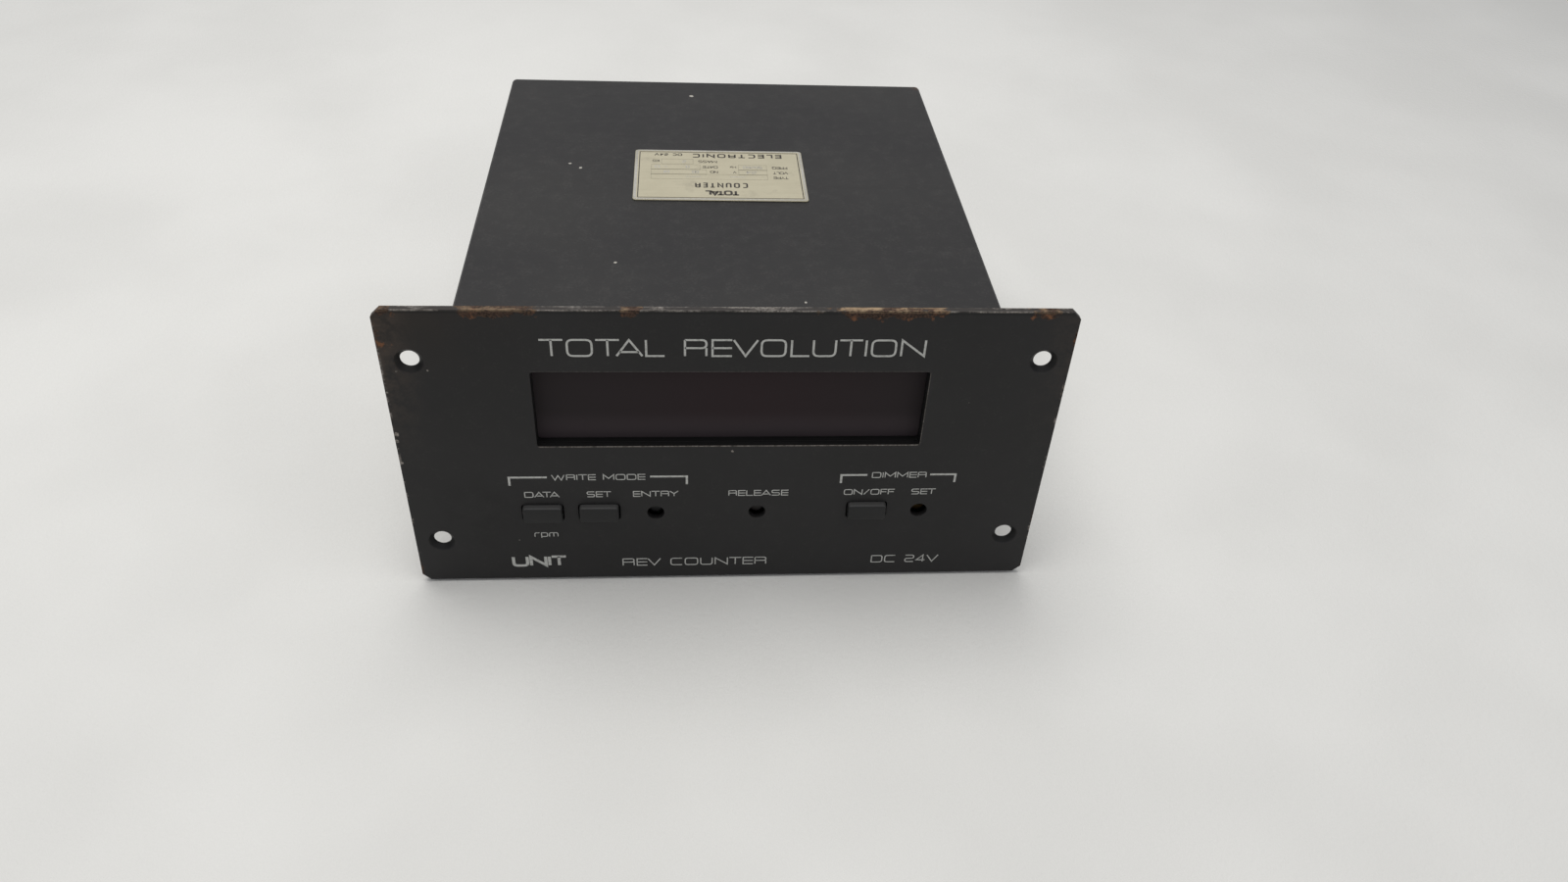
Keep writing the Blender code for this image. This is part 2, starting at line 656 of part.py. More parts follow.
def terminal_block():
    """A barrier strip: a moulded base with a wall beside each pole, and a clamp screw in each."""
    run = POLES * POLE_PITCH
    width = run + 2 * TERMINAL_END
    middle = REAR_SEAT + TERMINAL_BASE / 2
    edge = 0.0006
    mesh = box("terminal_block", (width, TERMINAL_HEIGHT, TERMINAL_BASE), edge)
    place = (TERMINAL_X, middle, TERMINAL_Z)
    block = add("terminal_block", mesh, TERMINAL_BLACK, place, TOWARDS_REAR)
    inner_end = REAR_PANEL_FRONT - TERMINAL_DEPTH
    depth = middle - inner_end
    mesh = box("terminal_inner", (run, TERMINAL_INNER, depth))
    place = (TERMINAL_X, inner_end + depth / 2, TERMINAL_Z)
    combine(block, "UNION", helper("terminal_inner", mesh, place, TOWARDS_REAR))
    wall = 0.0016
    height = BARRIER_HEIGHT + 0.002
    for number in range(POLES + 1):
        x = TERMINAL_X - run / 2 + number * POLE_PITCH
        mesh = box("barrier", (wall, TERMINAL_HEIGHT - 2 * edge, height))
        place = (x, TERMINAL_REAR - height / 2, TERMINAL_Z)
        combine(block, "UNION", helper(f"barrier_{number}", mesh, place, TOWARDS_REAR))
    clamp = (0.0076, 0.0120, 0.0009)
    head = 0.0033
    head_top = 0.0029
    head_height = 0.0026
    y = REAR_SEAT + TERMINAL_BASE + GAP + clamp[2] / 2
    for number in range(1, POLES + 1):
        place = (TERMINAL_X - run / 2 + (number - 0.5) * POLE_PITCH, y, TERMINAL_Z)
        name = f"terminal_screw_{number}"
        piece = add(name, box("terminal_screw", clamp), SCREW_STEEL, place, TOWARDS_REAR)
        mesh = rod("clamp_head", head, head_height, 16, head_top)
        combine(piece, "UNION", helper(name + "_head", mesh, place, TOWARDS_REAR))


def fuse_and_earth():
    """The fuse holder with its cap and fuse, and the earth screw beside it."""
    bore = 0.0034
    collar = 0.0080
    flange = 0.0022
    floor = 0.0020
    chamfer = 0.0005
    barrel_end = 0.148
    depth = REAR_SEAT - barrel_end
    profile = [
        (bore, depth + flange),
        (collar - chamfer, depth + flange),
        (collar, depth + flange - chamfer),
        (collar, depth),
        (FUSE_BARREL, depth),
        (FUSE_BARREL, 0),
        (0, 0),
        (0, floor),
        (bore, floor),
        (bore, depth + flange),
    ]
    turned("fuse_holder", profile, TERMINAL_BLACK, (FUSE_X, barrel_end, FUSE_Z), TOWARDS_REAR, 24)
    fuse_start = barrel_end + floor + 0.0005
    fuse_length = 0.020
    glass = 0.0026
    ferrule = 0.0028
    band = 0.005
    profile = [
        (0, fuse_length),
        (ferrule, fuse_length),
        (ferrule, fuse_length - band),
        (glass, fuse_length - band),
        (glass, band),
        (ferrule, band),
        (ferrule, 0),
        (0, 0),
    ]
    turned("fuse", profile, FUSE_GLASS, (FUSE_X, fuse_start, FUSE_Z), TOWARDS_REAR, 16)
    spigot_start = fuse_start + fuse_length + GAP
    spigot = 0.0030
    seat = REAR_SEAT + flange + GAP - spigot_start
    top = seat + 0.0095
    grip = 0.0064
    skirt = 0.0072
    rounding = 0.0012
    profile = [
        (0, top),
        (grip - rounding, top),
        (grip, top - rounding),
        (grip, seat + rounding),
        (skirt, seat + rounding / 3),
        (skirt, seat),
        (spigot, seat),
        (spigot, 0),
        (0, 0),
    ]
    place = (FUSE_X, spigot_start, FUSE_Z)
    cap = turned("fuse_cap", profile, TERMINAL_BLACK, place, TOWARDS_REAR, 24)
    mesh = box("cap_slot", (0.0100, 0.0012, 0.0024))
    place = (FUSE_X, spigot_start + top, FUSE_Z)
    combine(cap, "DIFFERENCE", helper("cap_slot", mesh, place, TOWARDS_REAR))
    head = 0.0036
    height = 0.0028
    washer = 0.0046
    washer_height = 0.0008
    length = 0.0100
    profile = [
        (0, height),
        (head * 0.7, height),
        (head, 2 * washer_height),
        (head, washer_height),
        (washer, washer_height),
        (washer, 0),
        (EARTH_RADIUS, 0),
        (EARTH_RADIUS, -length),
        (0, -length),
    ]
    turned("earth_screw", profile, BRASS, (EARTH_X, REAR_SEAT, FUSE_Z), TOWARDS_REAR, 16)


def nameplate():
    width, depth, thickness = NAMEPLATE
    mesh = plate("nameplate", [rectangle(0, 0, width, depth, 0.001, 2)], thickness)
    place = (NAMEPLATE_X, NAMEPLATE_Y, CASE_TOP + LEAST_GAP + thickness / 2)
    add("nameplate", mesh, PLATE_METAL, place)


def on_board(name, size, x, y, material, edge=0.0005):
    """A block that stands on the main board."""
    mesh = box(name, size, edge)
    return add(name, mesh, material, (x, y, BOARD_TOP + size[2] / 2))


def main_board():
    """The logic and supply board on the tray's pillars."""
    front, rear = MAIN_BOARD_Y
    outline = rectangle(0, (front + rear) / 2, 2 * MAIN_BOARD_X, rear - front, 0.002, 2)
    mesh = plate("main_board", [outline], BOARD_THICKNESS)
    add("main_board", mesh, BOARD_GREEN, (0, 0, MAIN_BOARD_Z + BOARD_THICKNESS / 2))
    chip_depth = 0.0138
    chip_height = 0.0045
    chip_x = 0.012
    on_board("processor_chip", (0.052, chip_depth, chip_height), chip_x, 0.078, CHIP_BLACK)
    on_board("memory_chip", (0.037, chip_depth, chip_height), chip_x, 0.102, CHIP_BLACK)
    on_board("power_converter", (0.046, 0.050, 0.020), -0.044, 0.098, CAN_STEEL, 0.0012)


def battery():
    """The cell that holds the total when the supply is off."""
    radius = 0.0082
    length = 0.050
    crown = 0.0012
    profile = [
        (0, length),
        (radius - crown, length),
        (radius, length - crown),
        (radius, crown),
        (radius - crown, 0),
        (0, 0),
    ]
    place = (0.055, 0.060, BOARD_TOP + radius)
    turned("backup_battery", profile, BATTERY_GREEN, place, TOWARDS_REAR, 20)


def capacitor():
    """The supply's smoothing capacitor, with the groove that its sleeve shrinks into."""
    radius = 0.0080
    height = 0.028
    crown = 0.0008
    groove = 0.0020
    profile = [
        (0, height),
        (radius - crown, height),
        (radius, height - crown),
        (radius, groove + crown),
        (radius - crown, groove),
        (radius, groove - crown),
        (radius, 0),
        (0, 0),
    ]
    turned("smoothing_capacitor", profile, SLEEVE_BLUE, (0.022, 0.134, BOARD_TOP), UPRIGHT, 20)


def heat_sink():
    """A finned extrusion that cools the regulator."""
    fins = 6
    pitch = 0.0052
    thickness = 0.0014
    base = 0.0030
    reach = 0.0140
    height = 0.024
    width = (fins - 1) * pitch + thickness
    outline = [(0, 0)]
    for fin in range(fins):
        left = fin * pitch
        outline += [(left, reach), (left + thickness, reach)]
        if fin < fins - 1:
            outline += [(left + thickness, base), (left + pitch, base)]
    outline.append((width, 0))
    mesh = plate("heat_sink", [outline], height)
    add("heat_sink", mesh, FIN_BLACK, (-0.066, 0.046, BOARD_TOP + height / 2))


def swept(guides, steps=14):
    """Points along the Bezier curve that four guide points draw."""
    points = []
    for step in range(steps + 1):
        t = step / steps
        weights = ((1 - t) ** 3, 3 * t * (1 - t) ** 2, 3 * t * t * (1 - t), t**3)
        points.append(sum((w * g for w, g in zip(weights, guides)), Vector()))
    return points


def ribbon():
    """The flat cable between the two boards, and the plug at each end of it."""
    width = 0.030
    thickness = 0.0009
    plug_width = 0.034
    plug_depth = 0.007
    plug_height = 0.008
    upper_y = DISPLAY_BOARD_FRONT + BOARD_THICKNESS + GAP
    upper_z = 0.048
    lower_y = 0.052
    edge = 0.0005
    mesh = box("ribbon_plug_upper", (plug_width, plug_depth, plug_height), edge)
    add("ribbon_plug_upper", mesh, CHIP_BLACK, (0, upper_y + plug_depth / 2, upper_z))
    mesh = box("ribbon_plug_lower", (plug_width, plug_height, plug_depth), edge)
    add("ribbon_plug_lower", mesh, CHIP_BLACK, (0, lower_y, BOARD_TOP + plug_depth / 2))
    start = Vector((0, upper_y + plug_depth + GAP, upper_z))
    end = Vector((0, lower_y, BOARD_TOP + plug_depth + GAP))
    pull = 0.020
    shape = bmesh.new()
    previous = None
    for point in swept((start, start + Vector((0, pull, 0)), end + Vector((0, 0, pull)), end)):
        pair = [shape.verts.new(point + Vector((side * width / 2, 0, 0))) for side in (-1, 1)]
        if previous:
            shape.faces.new((previous[0], previous[1], pair[1], pair[0]))
        previous = pair
    mesh = bpy.data.meshes.new("ribbon_cable")
    shape.to_mesh(mesh)
    shape.free()
    cable = add("ribbon_cable", mesh, RIBBON_GREY, (0, 0, 0))
    wall = cable.modifiers.new("thickness", "SOLIDIFY")
    wall.thickness = thickness
    wall.offset = 0


def loom():
    """The wires from the terminals to the main board, bound as one sleeve."""
    start = Vector((TERMINAL_X, REAR_PANEL_FRONT - TERMINAL_DEPTH - GAP, TERMINAL_Z))
    end = Vector((-0.030, 0.150, BOARD_TOP))
    pull = 0.012
    points = swept((start, start + Vector((0, -pull, 0)), end + Vector((0, 0, pull)), end))
    curve = bpy.data.curves.new("terminal_loom", "CURVE")
    curve.dimensions = "3D"
    curve.bevel_depth = 0.0022
    curve.bevel_resolution = 2
    curve.use_fill_caps = True
    spline = curve.splines.new("POLY")
    spline.points.add(len(points) - 1)
    for made, point in zip(spline.points, points):
        made.co = (*point, 1)
    curve.materials.append(LOOM_BLACK)
    tube = bpy.data.objects.new("terminal_loom", curve)
    tube.parent = COUNTER
    PARTS.objects.link(tube)


def main():
    front_panel()
    window()
    controls()
    display()
    cover = case_cover()
    tray = chassis_tray()
    cover_screws(cover, tray)
    rear_panel(cover, tray)
    terminal_block()
    fuse_and_earth()
    nameplate()
    main_board()
    battery()
    capacitor()
    heat_sink()
    ribbon()
    loom()


main()
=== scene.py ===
"""A panel-mount revolution counter: black front plate, folded case, terminals behind."""

import json
from math import cos, pi, radians, sin

import bmesh
import bpy
from mathutils import Matrix, Vector

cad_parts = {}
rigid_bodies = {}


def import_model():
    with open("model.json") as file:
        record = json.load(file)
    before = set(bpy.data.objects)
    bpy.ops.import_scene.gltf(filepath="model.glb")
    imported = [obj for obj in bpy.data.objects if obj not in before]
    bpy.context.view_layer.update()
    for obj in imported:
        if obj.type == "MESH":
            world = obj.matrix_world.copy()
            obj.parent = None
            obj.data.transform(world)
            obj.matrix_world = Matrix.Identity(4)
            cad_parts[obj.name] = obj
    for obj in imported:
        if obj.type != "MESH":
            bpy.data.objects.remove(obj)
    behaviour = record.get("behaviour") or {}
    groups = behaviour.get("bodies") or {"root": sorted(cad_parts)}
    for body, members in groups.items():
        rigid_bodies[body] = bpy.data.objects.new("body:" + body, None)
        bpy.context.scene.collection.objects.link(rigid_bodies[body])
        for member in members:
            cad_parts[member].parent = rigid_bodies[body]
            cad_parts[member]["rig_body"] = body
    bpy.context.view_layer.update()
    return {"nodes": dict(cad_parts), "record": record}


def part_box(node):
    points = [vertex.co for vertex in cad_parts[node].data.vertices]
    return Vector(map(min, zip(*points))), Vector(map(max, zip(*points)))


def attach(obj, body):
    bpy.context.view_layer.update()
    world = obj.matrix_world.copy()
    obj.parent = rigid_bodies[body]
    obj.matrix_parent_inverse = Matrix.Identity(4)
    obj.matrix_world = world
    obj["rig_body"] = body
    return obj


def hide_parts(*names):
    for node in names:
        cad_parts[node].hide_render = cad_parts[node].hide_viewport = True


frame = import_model()

MM = 0.001
PLATE_LOW, PLATE_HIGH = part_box("front_panel")
PLATE_FACE, PLATE_THICKNESS = PLATE_LOW.y, 2 * MM
CASE_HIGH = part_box("case_cover")[1]
REAR_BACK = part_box("rear_panel")[1].y
NAME_LOW, NAME_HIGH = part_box("nameplate")
# The frame behind the window is this much larger than the opening on each side.
FRAME_MARGIN = Vector((6.5, 0, 6.5)) * MM
WINDOW_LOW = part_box("window_frame")[0] + FRAME_MARGIN
WINDOW_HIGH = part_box("window_frame")[1] - FRAME_MARGIN
# From the plate's corners to the middles of its fixing holes.
HOLE_INSET = Vector((8.2, 0, 17.5)) * MM
# How high the case's underside is above the plate's lower edge.
REST_HEIGHT = 8 * MM
# Faces larger than this stay flat when their neighbours' edges are eased.
BROAD_FACE = 60 * MM * MM
FLOOR_REACH = 6.0
# How far each screw's head stands above its seat.
CASE_HEAD, CLAMP_HEAD, EARTH_HEAD = 1.9 * MM, 1.75 * MM, 2.8 * MM
# Place and radius of each chip in the plate's and the case's enamel, in millimetres.
PLATE_CHIPS = (
    (0.5, 54.3, 0.45),
    (-67.4, 17.4, 0.2),
    (71.6, 72.8, 0.2),
    (-99.5, 77.0, 0.45),
    (-99.4, 61.5, 0.8),
    (-99.5, 59.0, 0.6),
    (-99.4, 50.5, 0.6),
    (-95.8, 84.6, 0.35),
    (-86.9, 84.9, 0.35),
)
CASE_CHIPS = (
    (-11, 68.5, 0.9),
    (-53.4, 10, 0.6),
    (-49.6, 6.8, 0.6),
    (-35, -56, 0.5),
    (22, -78, 0.5),
)
# Middle, reach and strength of each rusty stretch of the plate's top edge, in millimetres.
RUST_PATCHES = ((-67, 21, 1.0), (-98, 9, 0.7), (-29, 7, 0.85), (43, 38, 0.85), (90, 10, 0.75))
PRINT_HEIGHT = 0.03 * MM

# Each character's width and its strokes on a grid of eight by eight: ~ rounds a stroke's corners,
# and o closes the stroke and rounds it.
LETTERS = {
    "A": (1.52, "00 48 80, 12 72"),
    "C": (1.3, "~88 08 00 80"),
    "D": (1.36, "~08 88 80 00, 00 08"),
    "E": (1.16, "88 08 00 80, 04 84"),
    "F": (1.12, "88 08 00, 04 74"),
    "G": (1.4, "~88 08 00 80 84, 84 54"),
    "H": (1.35, "00 08, 80 88, 04 84"),
    "I": (0.0, "00 08"),
    "K": (1.3, "00 08, 88 04 80"),
    "L": (1.08, "08 00 80"),
    "M": (1.65, "00 08 42 88 80"),
    "N": (1.42, "00 08 80 88"),
    "O": (1.44, "o00 08 88 80"),
    "P": (1.3, "~03 83 88 08, 08 00"),
    "Q": (1.44, "o00 08 88 80, 53 80"),
    "R": (1.27, "~04 84 88 08, 08 00, 84 80"),
    "S": (1.28, "~88 08 04 84 80 00"),
    "T": (1.38, "08 88, 48 40"),
    "U": (1.33, "~08 00 80 88"),
    "V": (1.43, "08 40 88"),
    "W": (2.0, "08 20 47 60 88"),
    "Y": (1.38, "08 44 88, 44 40"),
    "r": (0.9, "~02 08 88"),
    "p": (1.15, "~02 82 88 08, 00 08"),
    "m": (1.6, "~02 08 88 82, 48 42"),
    "z": (0.9, "05 85 00 80"),
    "0": (1.1, "o00 08 88 80"),
    "1": (0.5, "06 48 40"),
    "2": (1.1, "~08 88 84 04 00 80"),
    "3": (1.1, "~08 88 84 24, ~24 84 80 00"),
    "4": (1.1, "60 68 02 82"),
    "5": (1.1, "88 08 05, ~05 85 80 00"),
    "6": (1.1, "~88 08 00 80 85 05"),
    "/": (0.9, "00 88"),
    ".": (0.0, "00 01"),
    "-": (0.7, "04 84"),
}
LETTER_GAP, WORD_GAP = 0.36, 0.62
# Characters that are open on a side stand closer there, and slanting pairs tuck in.
OPEN_LEFT, OPEN_RIGHT, OPENING = "ATVY", "ATVYEFL", 0.13
TUCKED_PAIRS, TUCK = ("TA", "AT", "AV", "VA", "AY", "YA"), 0.28
CORNER_ROUNDING = 0.3

# Words, left, right, foot, head and line width, in millimetres on the plate.
PLATE_WORDS = (
    ("TOTAL REVOLUTION", -55.3, 56.0, 89.8, 96.0, 0.64),
    ("WRITE MODE", -55.3, -26.2, 42.9, 45.3, 0.31),
    ("DIMMER", 44.8, 62.3, 42.9, 45.3, 0.31),
    ("DATA", -64.1, -53.2, 35.8, 38.2, 0.31),
    ("SET", -44.8, -37.1, 35.8, 38.2, 0.31),
    ("ENTRY", -30.4, -16.1, 35.8, 38.2, 0.31),
    ("RELEASE", -0.4, 18.8, 35.8, 38.2, 0.31),
    ("ON/OFF", 36.4, 52.9, 35.8, 38.2, 0.31),
    ("SET", 58.2, 66.2, 35.8, 38.2, 0.31),
    ("rpm", -62.4, -54.8, 18.2, 20.7, 0.29),
    ("UNIT", -70.6, -52.6, 5.3, 10.2, 1.0),
    ("REV COUNTER", -34.8, 12.8, 5.0, 8.4, 0.36),
    ("DC 24V", 48.0, 70.9, 5.0, 8.4, 0.36),
)
# The two brackets' lines, left and right of their words.
BRACKETS = (((-68.2, -56.6), (-24.9, -13.5)), ((35.1, 43.3), (63.4, 71.6)))
BRACKET_LINE, BRACKET_FOOT, BRACKET_WIDTH = 44.2, 40.9, 0.7


def srgb(code):
    """A colour from its six-figure screen code."""
    parts = [int(code[i : i + 2], 16) / 255 for i in (0, 2, 4)]
    return (*[p / 12.92 if p < 0.04045 else ((p + 0.055) / 1.055) ** 2.4 for p in parts], 1.0)


class Graph:
    """A node tree, built one node at a time."""

    prefix = ""

    def __init__(self, tree):
        self.tree = tree

    def node(self, kind, settings=None, inputs=None, output=0):
        """Adds a node: its settings first, then the values or links of its inputs."""
        made = self.tree.nodes.new(self.prefix + kind)
        for name, value in (settings or {}).items():
            setattr(made, name, value)
        for name, value in (inputs or {}).items():
            if isinstance(value, Value):
                self.tree.links.new(value.socket, made.inputs[name])
            else:
                made.inputs[name].default_value = value
        return Value(self, made.outputs[output] if made.outputs else None)


class Value:
    """A socket of a graph. Arithmetic on it adds Math nodes."""

    def __init__(self, graph, socket):
        self.graph, self.socket = graph, socket

    def work(self, operation, *numbers):
        return self.graph.node("Math", {"operation": operation}, dict(enumerate(numbers)))

    def __add__(self, other):
        return self.work("ADD", self, other)

    def __sub__(self, other):
        return self.work("SUBTRACT", self, other)

    def __rsub__(self, other):
        return self.work("SUBTRACT", other, self)

    def __mul__(self, other):
        return self.work("MULTIPLY", self, other)

    def __abs__(self):
        return self.work("ABSOLUTE", self)

    __radd__, __rmul__ = __add__, __mul__

    def root(self):
        return self.work("SQRT", self)

    def least(self, other):
        return self.work("MINIMUM", self, other)

    def most(self, other):
        return self.work("MAXIMUM", self, other)

    def between(self, low, high, start=0.0, end=1.0):
        """Start where the value is low, end where it is high, and smooth in between."""
        return self.graph.node(
            "MapRange",
            {"interpolation_type": "SMOOTHSTEP"},
            {0: self, 1: low, 2: high, 3: start, 4: end},
        )


class Finish(Graph):
    """One material, in the coordinates of the whole counter."""

    prefix = "ShaderNode"

    def __init__(self, name):
        self.material = bpy.data.materials.new(name)
        self.material.use_nodes = True
        super().__init__(self.material.node_tree)
        self.tree.nodes.clear()
        self.place = self.node("TexCoord", output="Object")
        self.axes = None

    def axis(self, name):
        if self.axes is None:
            self.axes = self.node("SeparateXYZ", inputs={0: self.place}).socket.node
        return Value(self, self.axes.outputs[name])

    def at(self, stretch):
        """The coordinates, squeezed along the axes."""
        if stretch == (1, 1, 1):
            return self.place
        values = {"Vector": self.place, "Scale": stretch}
        return self.node("Mapping", {"vector_type": "POINT"}, values)

    def noise(self, scale, detail=2.0, roughness=0.5, stretch=(1, 1, 1)):
        values = {"Vector": self.at(stretch), "Scale": scale}
        values.update({"Detail": detail, "Roughness": roughness})
        return self.node("TexNoise", inputs=values)

    def cells(self, scale, output="Distance"):
        values = {"Vector": self.place, "Scale": scale}
        return self.node("TexVoronoi", inputs=values, output=output)

    def mix(self, share, first, second):
        """The first colour where the share is 0 and the second where it is 1."""
        return self.node("Mix", {"data_type": "RGBA"}, {0: share, 6: first, 7: second}, 2)

    def bump(self, height, distance):
        """The surface normal over a height from 0 to 1."""
        return self.node("Bump", inputs={"Height": height, "Distance": distance, "Strength": 1.0})

    def close(self, colour, roughness, normal=None, **constants):
        """Ends the material in its surface. Constants are named by their sockets."""
        values = {"Base Color": colour, "Roughness": roughness}
        values.update({name.replace("_", " "): value for name, value in constants.items()})
        if normal is not None:
            values["Normal"] = normal
        shader = self.node("BsdfPrincipled", inputs=values)
        self.node("OutputMaterial", inputs={"Surface": shader})
        return self.material


def near(value, middle, reach):
    """1 at the middle, falling to 0 at the reach."""
    return abs(value - middle).between(reach, 0.0)


def distance(first, second, a, b):
    """How far two coordinates are from a place."""
    across, along = first - a, second - b
    return (across * across + along * along).root()


def spots(finish, first, second, places):
    """1 inside small ragged spots at those places of a surface."""
    found = 0.0
    ragged = finish.noise(1100, 3) * 1.2 * MM
    for a, b, radius in places:
        away = distance(first, second, a * MM, b * MM) + ragged
        found = away.between((radius + 0.6) * MM, (radius + 0.48) * MM).most(found)
    return found


def wear_and_highlight_line(finish, value, place, across, reach):
    """1 on a thin broken line where the value is at a place, as far as the other value reaches."""
    broken = finish.noise(260, 3, 0.7).between(0.25, 0.5)
    return near(value, place, 0.36 * MM) * abs(across).between(reach, reach - 1 * MM) * broken


def plate_rust(x, z, broad, ragged, blotch):
    """Rust that creeps in ragged patches from the plate's top edge and its left corner."""
    top, side = PLATE_HIGH.z - z, PLATE_HIGH.x - abs(x)
    strength = 0.0
    for middle, reach, share in RUST_PATCHES:
        strength = (near(x, middle * MM, reach * MM) * share).most(strength)
    strength = strength * top.between(5.5 * MM, 0.0)
    corner = near(x, PLATE_LOW.x, 7 * MM) * near(top, 8 * MM, 26 * MM) * 0.42
    flank = side.between(1.6 * MM, 0.0) * broad.between(0.5, 0.62) * 0.62
    strength = strength.most(corner).most(flank)
    return (strength + (ragged - 0.5) * 1.1 + (blotch - 0.5) * 1.3).between(0.44, 0.6)


def plate_wear_and_highlight(finish, x, y, z, ragged, blotch):
    """Bare metal on the plate's top, its flanks and its chips, and on the edges of its window worn
    metal that is also a painted highlight.
    """
    top, side = PLATE_HIGH.z - z, PLATE_HIGH.x - abs(x)
    streaks = finish.noise(150, 4, 0.7, (0.35, 1, 1))
    rear_edge = near(y, PLATE_FACE + PLATE_THICKNESS, 0.7 * MM)
    rubbed = streaks.between(0.5, 0.62) * 0.6 + streaks.between(0.42, 0.5) * rear_edge * 0.7
    rubbed = top.between(0.5 * MM, 0.1 * MM) * rubbed * ragged.between(0.38, 0.56)
    arris = near(y, PLATE_FACE, 0.4 * MM) * top.between(0.6 * MM, 0.1 * MM)
    arris = arris * blotch.between(0.4, 0.55)
    left = x.between(0.0, PLATE_LOW.x)
    nicks = side.between(0.9 * MM, 0.2 * MM) * (ragged + blotch + left * 0.05).between(1.06, 1.18)
    chips = spots(finish, x, z, PLATE_CHIPS)
    low, high = WINDOW_LOW, WINDOW_HIGH
    middle, half_high = (low.z + high.z) / 2, (high.z - low.z) / 2
    # Worn paint and painted highlight: bright metal lines on the window's sill, head and
    # right-hand jamb stand for the edges' wear and for the light they catch.
    sill = wear_and_highlight_line(finish, z, low.z, x, high.x) * 1.15
    head = wear_and_highlight_line(finish, z, high.z, x, high.x) * 0.22
    jamb = wear_and_highlight_line(finish, x, high.x, z - middle, half_high) * 0.6
    on_face = y.between(PLATE_FACE + 0.35 * MM, PLATE_FACE + 0.15 * MM)
    return rubbed.most(arris).most(nicks).most(chips).most((sill + head + jamb) * on_face)


def plate_hollow_shade(x, y, z):
    """1 inside the fixing holes and on the window's walls, where shade is painted into the enamel.
    """
    bored = 0.0
    for hole_x in (PLATE_LOW.x + HOLE_INSET.x, PLATE_HIGH.x - HOLE_INSET.x):
        for hole_z in (PLATE_LOW.z + HOLE_INSET.z, PLATE_HIGH.z - HOLE_INSET.z):
            away = distance(x, z, hole_x, hole_z)
            bored = away.between(4.6 * MM, 4.3 * MM).most(bored)
    middle = (WINDOW_LOW.z + WINDOW_HIGH.z) / 2
    half_high = (WINDOW_HIGH.z - WINDOW_LOW.z) / 2
    past = (abs(x) - WINDOW_HIGH.x).most(abs(z - middle) - half_high)
    bored = past.between(0.4 * MM, 0.2 * MM).most(bored)
    return y.between(PLATE_FACE + 0.12 * MM, PLATE_FACE + 0.4 * MM) * bored


def plate_enamel():
    """Satin black stove enamel, worn to metal and rusting along the plate's edges, with painted
    shade in its hollows and a painted highlight on its window's edges.
    """
    finish = Finish("plate_enamel")
    x, y, z = (finish.axis(name) for name in "XYZ")
    top = PLATE_HIGH.z - z
    broad, blotch = finish.noise(26, 3), finish.noise(140, 4, 0.7)
    ragged, fine = finish.noise(300, 5, 0.65), finish.noise(1500, 3, 0.6)
    rust = plate_rust(x, z, broad, ragged, blotch)
    bare_and_highlight = plate_wear_and_highlight(finish, x, y, z, ragged, blotch) * (1.0 - rust)
    hollow_shade = plate_hollow_shade(x, y, z)
    film = top.between(30 * MM, 0.0) * near(x, PLATE_LOW.x, 50 * MM) * broad.between(0.2, 0.6)
    flanks = (PLATE_HIGH.x - abs(x)).between(13 * MM, 0.0) * x.between(0.0, PLATE_LOW.x, 0.35, 1.0)
    grime = flanks * top.between(62 * MM, 4 * MM) * ragged.between(0.3, 0.62)
    smear = near(x, -80 * MM, 26 * MM) * near(z, 30 * MM, 22 * MM) * blotch.between(0.4, 0.65)
    shade = near(top, 0.8 * MM, 0.7 * MM) * y.between(PLATE_FACE + 0.4 * MM, PLATE_FACE)
    black = finish.mix(broad.between(0.3, 0.75), srgb("1f1e1e"), srgb("252424"))
    black = finish.mix((fine * ragged).between(0.24, 0.5) * 0.12, black, srgb("4d4a47"))
    black = finish.mix(film * 0.5, black, srgb("35291d"))
    black = finish.mix(grime * 0.6, black, srgb("4d4138"))
    black = finish.mix(smear * 0.5, black, srgb("151414"))
    # Painted shade: near black in the fixing holes' countersinks and on the window's walls.
    black = finish.mix(hollow_shade * 0.75, black, srgb("0a0a0a"))
    black = finish.mix(shade * 0.6, black, srgb("0b0b0b"))
    black = finish.mix(top.between(0.5 * MM, 0.1 * MM) * 0.8, black, srgb("332f2c"))
    metal = finish.mix(fine.between(0.3, 0.7), srgb("57524c"), srgb("96908a"))
    brown = finish.mix(fine.between(0.35, 0.65), srgb("2a201a"), srgb("503c30"))
    brown = finish.mix((blotch * ragged).between(0.29, 0.4) * 0.65, brown, srgb("8a5d3f"))
    streaks = finish.noise(190, 5, 0.75, (0.45, 1, 1)) + (ragged - 0.5) * 0.5
    sandy = top.between(0.9 * MM, 0.2 * MM) * (0.45 + near(x, 43 * MM, 40 * MM) * 0.45)
    brown = finish.mix(sandy * streaks.between(0.4, 0.62), brown, srgb("a08a6e"))
    colour = finish.mix(bare_and_highlight, black, metal)
    colour = finish.mix(rust * 0.9, colour, brown)
    rough = 0.42 + broad * 0.16 + rust * 0.35 + fine * 0.06
    grain = finish.noise(2600, 2) * 0.6 + ragged * (bare_and_highlight + rust) * 2.2
    normal = finish.bump(grain, 0.02 * MM)
    return finish.close(colour, rough, normal, Metallic=bare_and_highlight * 0.5, Specular_IOR_Level=0.28)


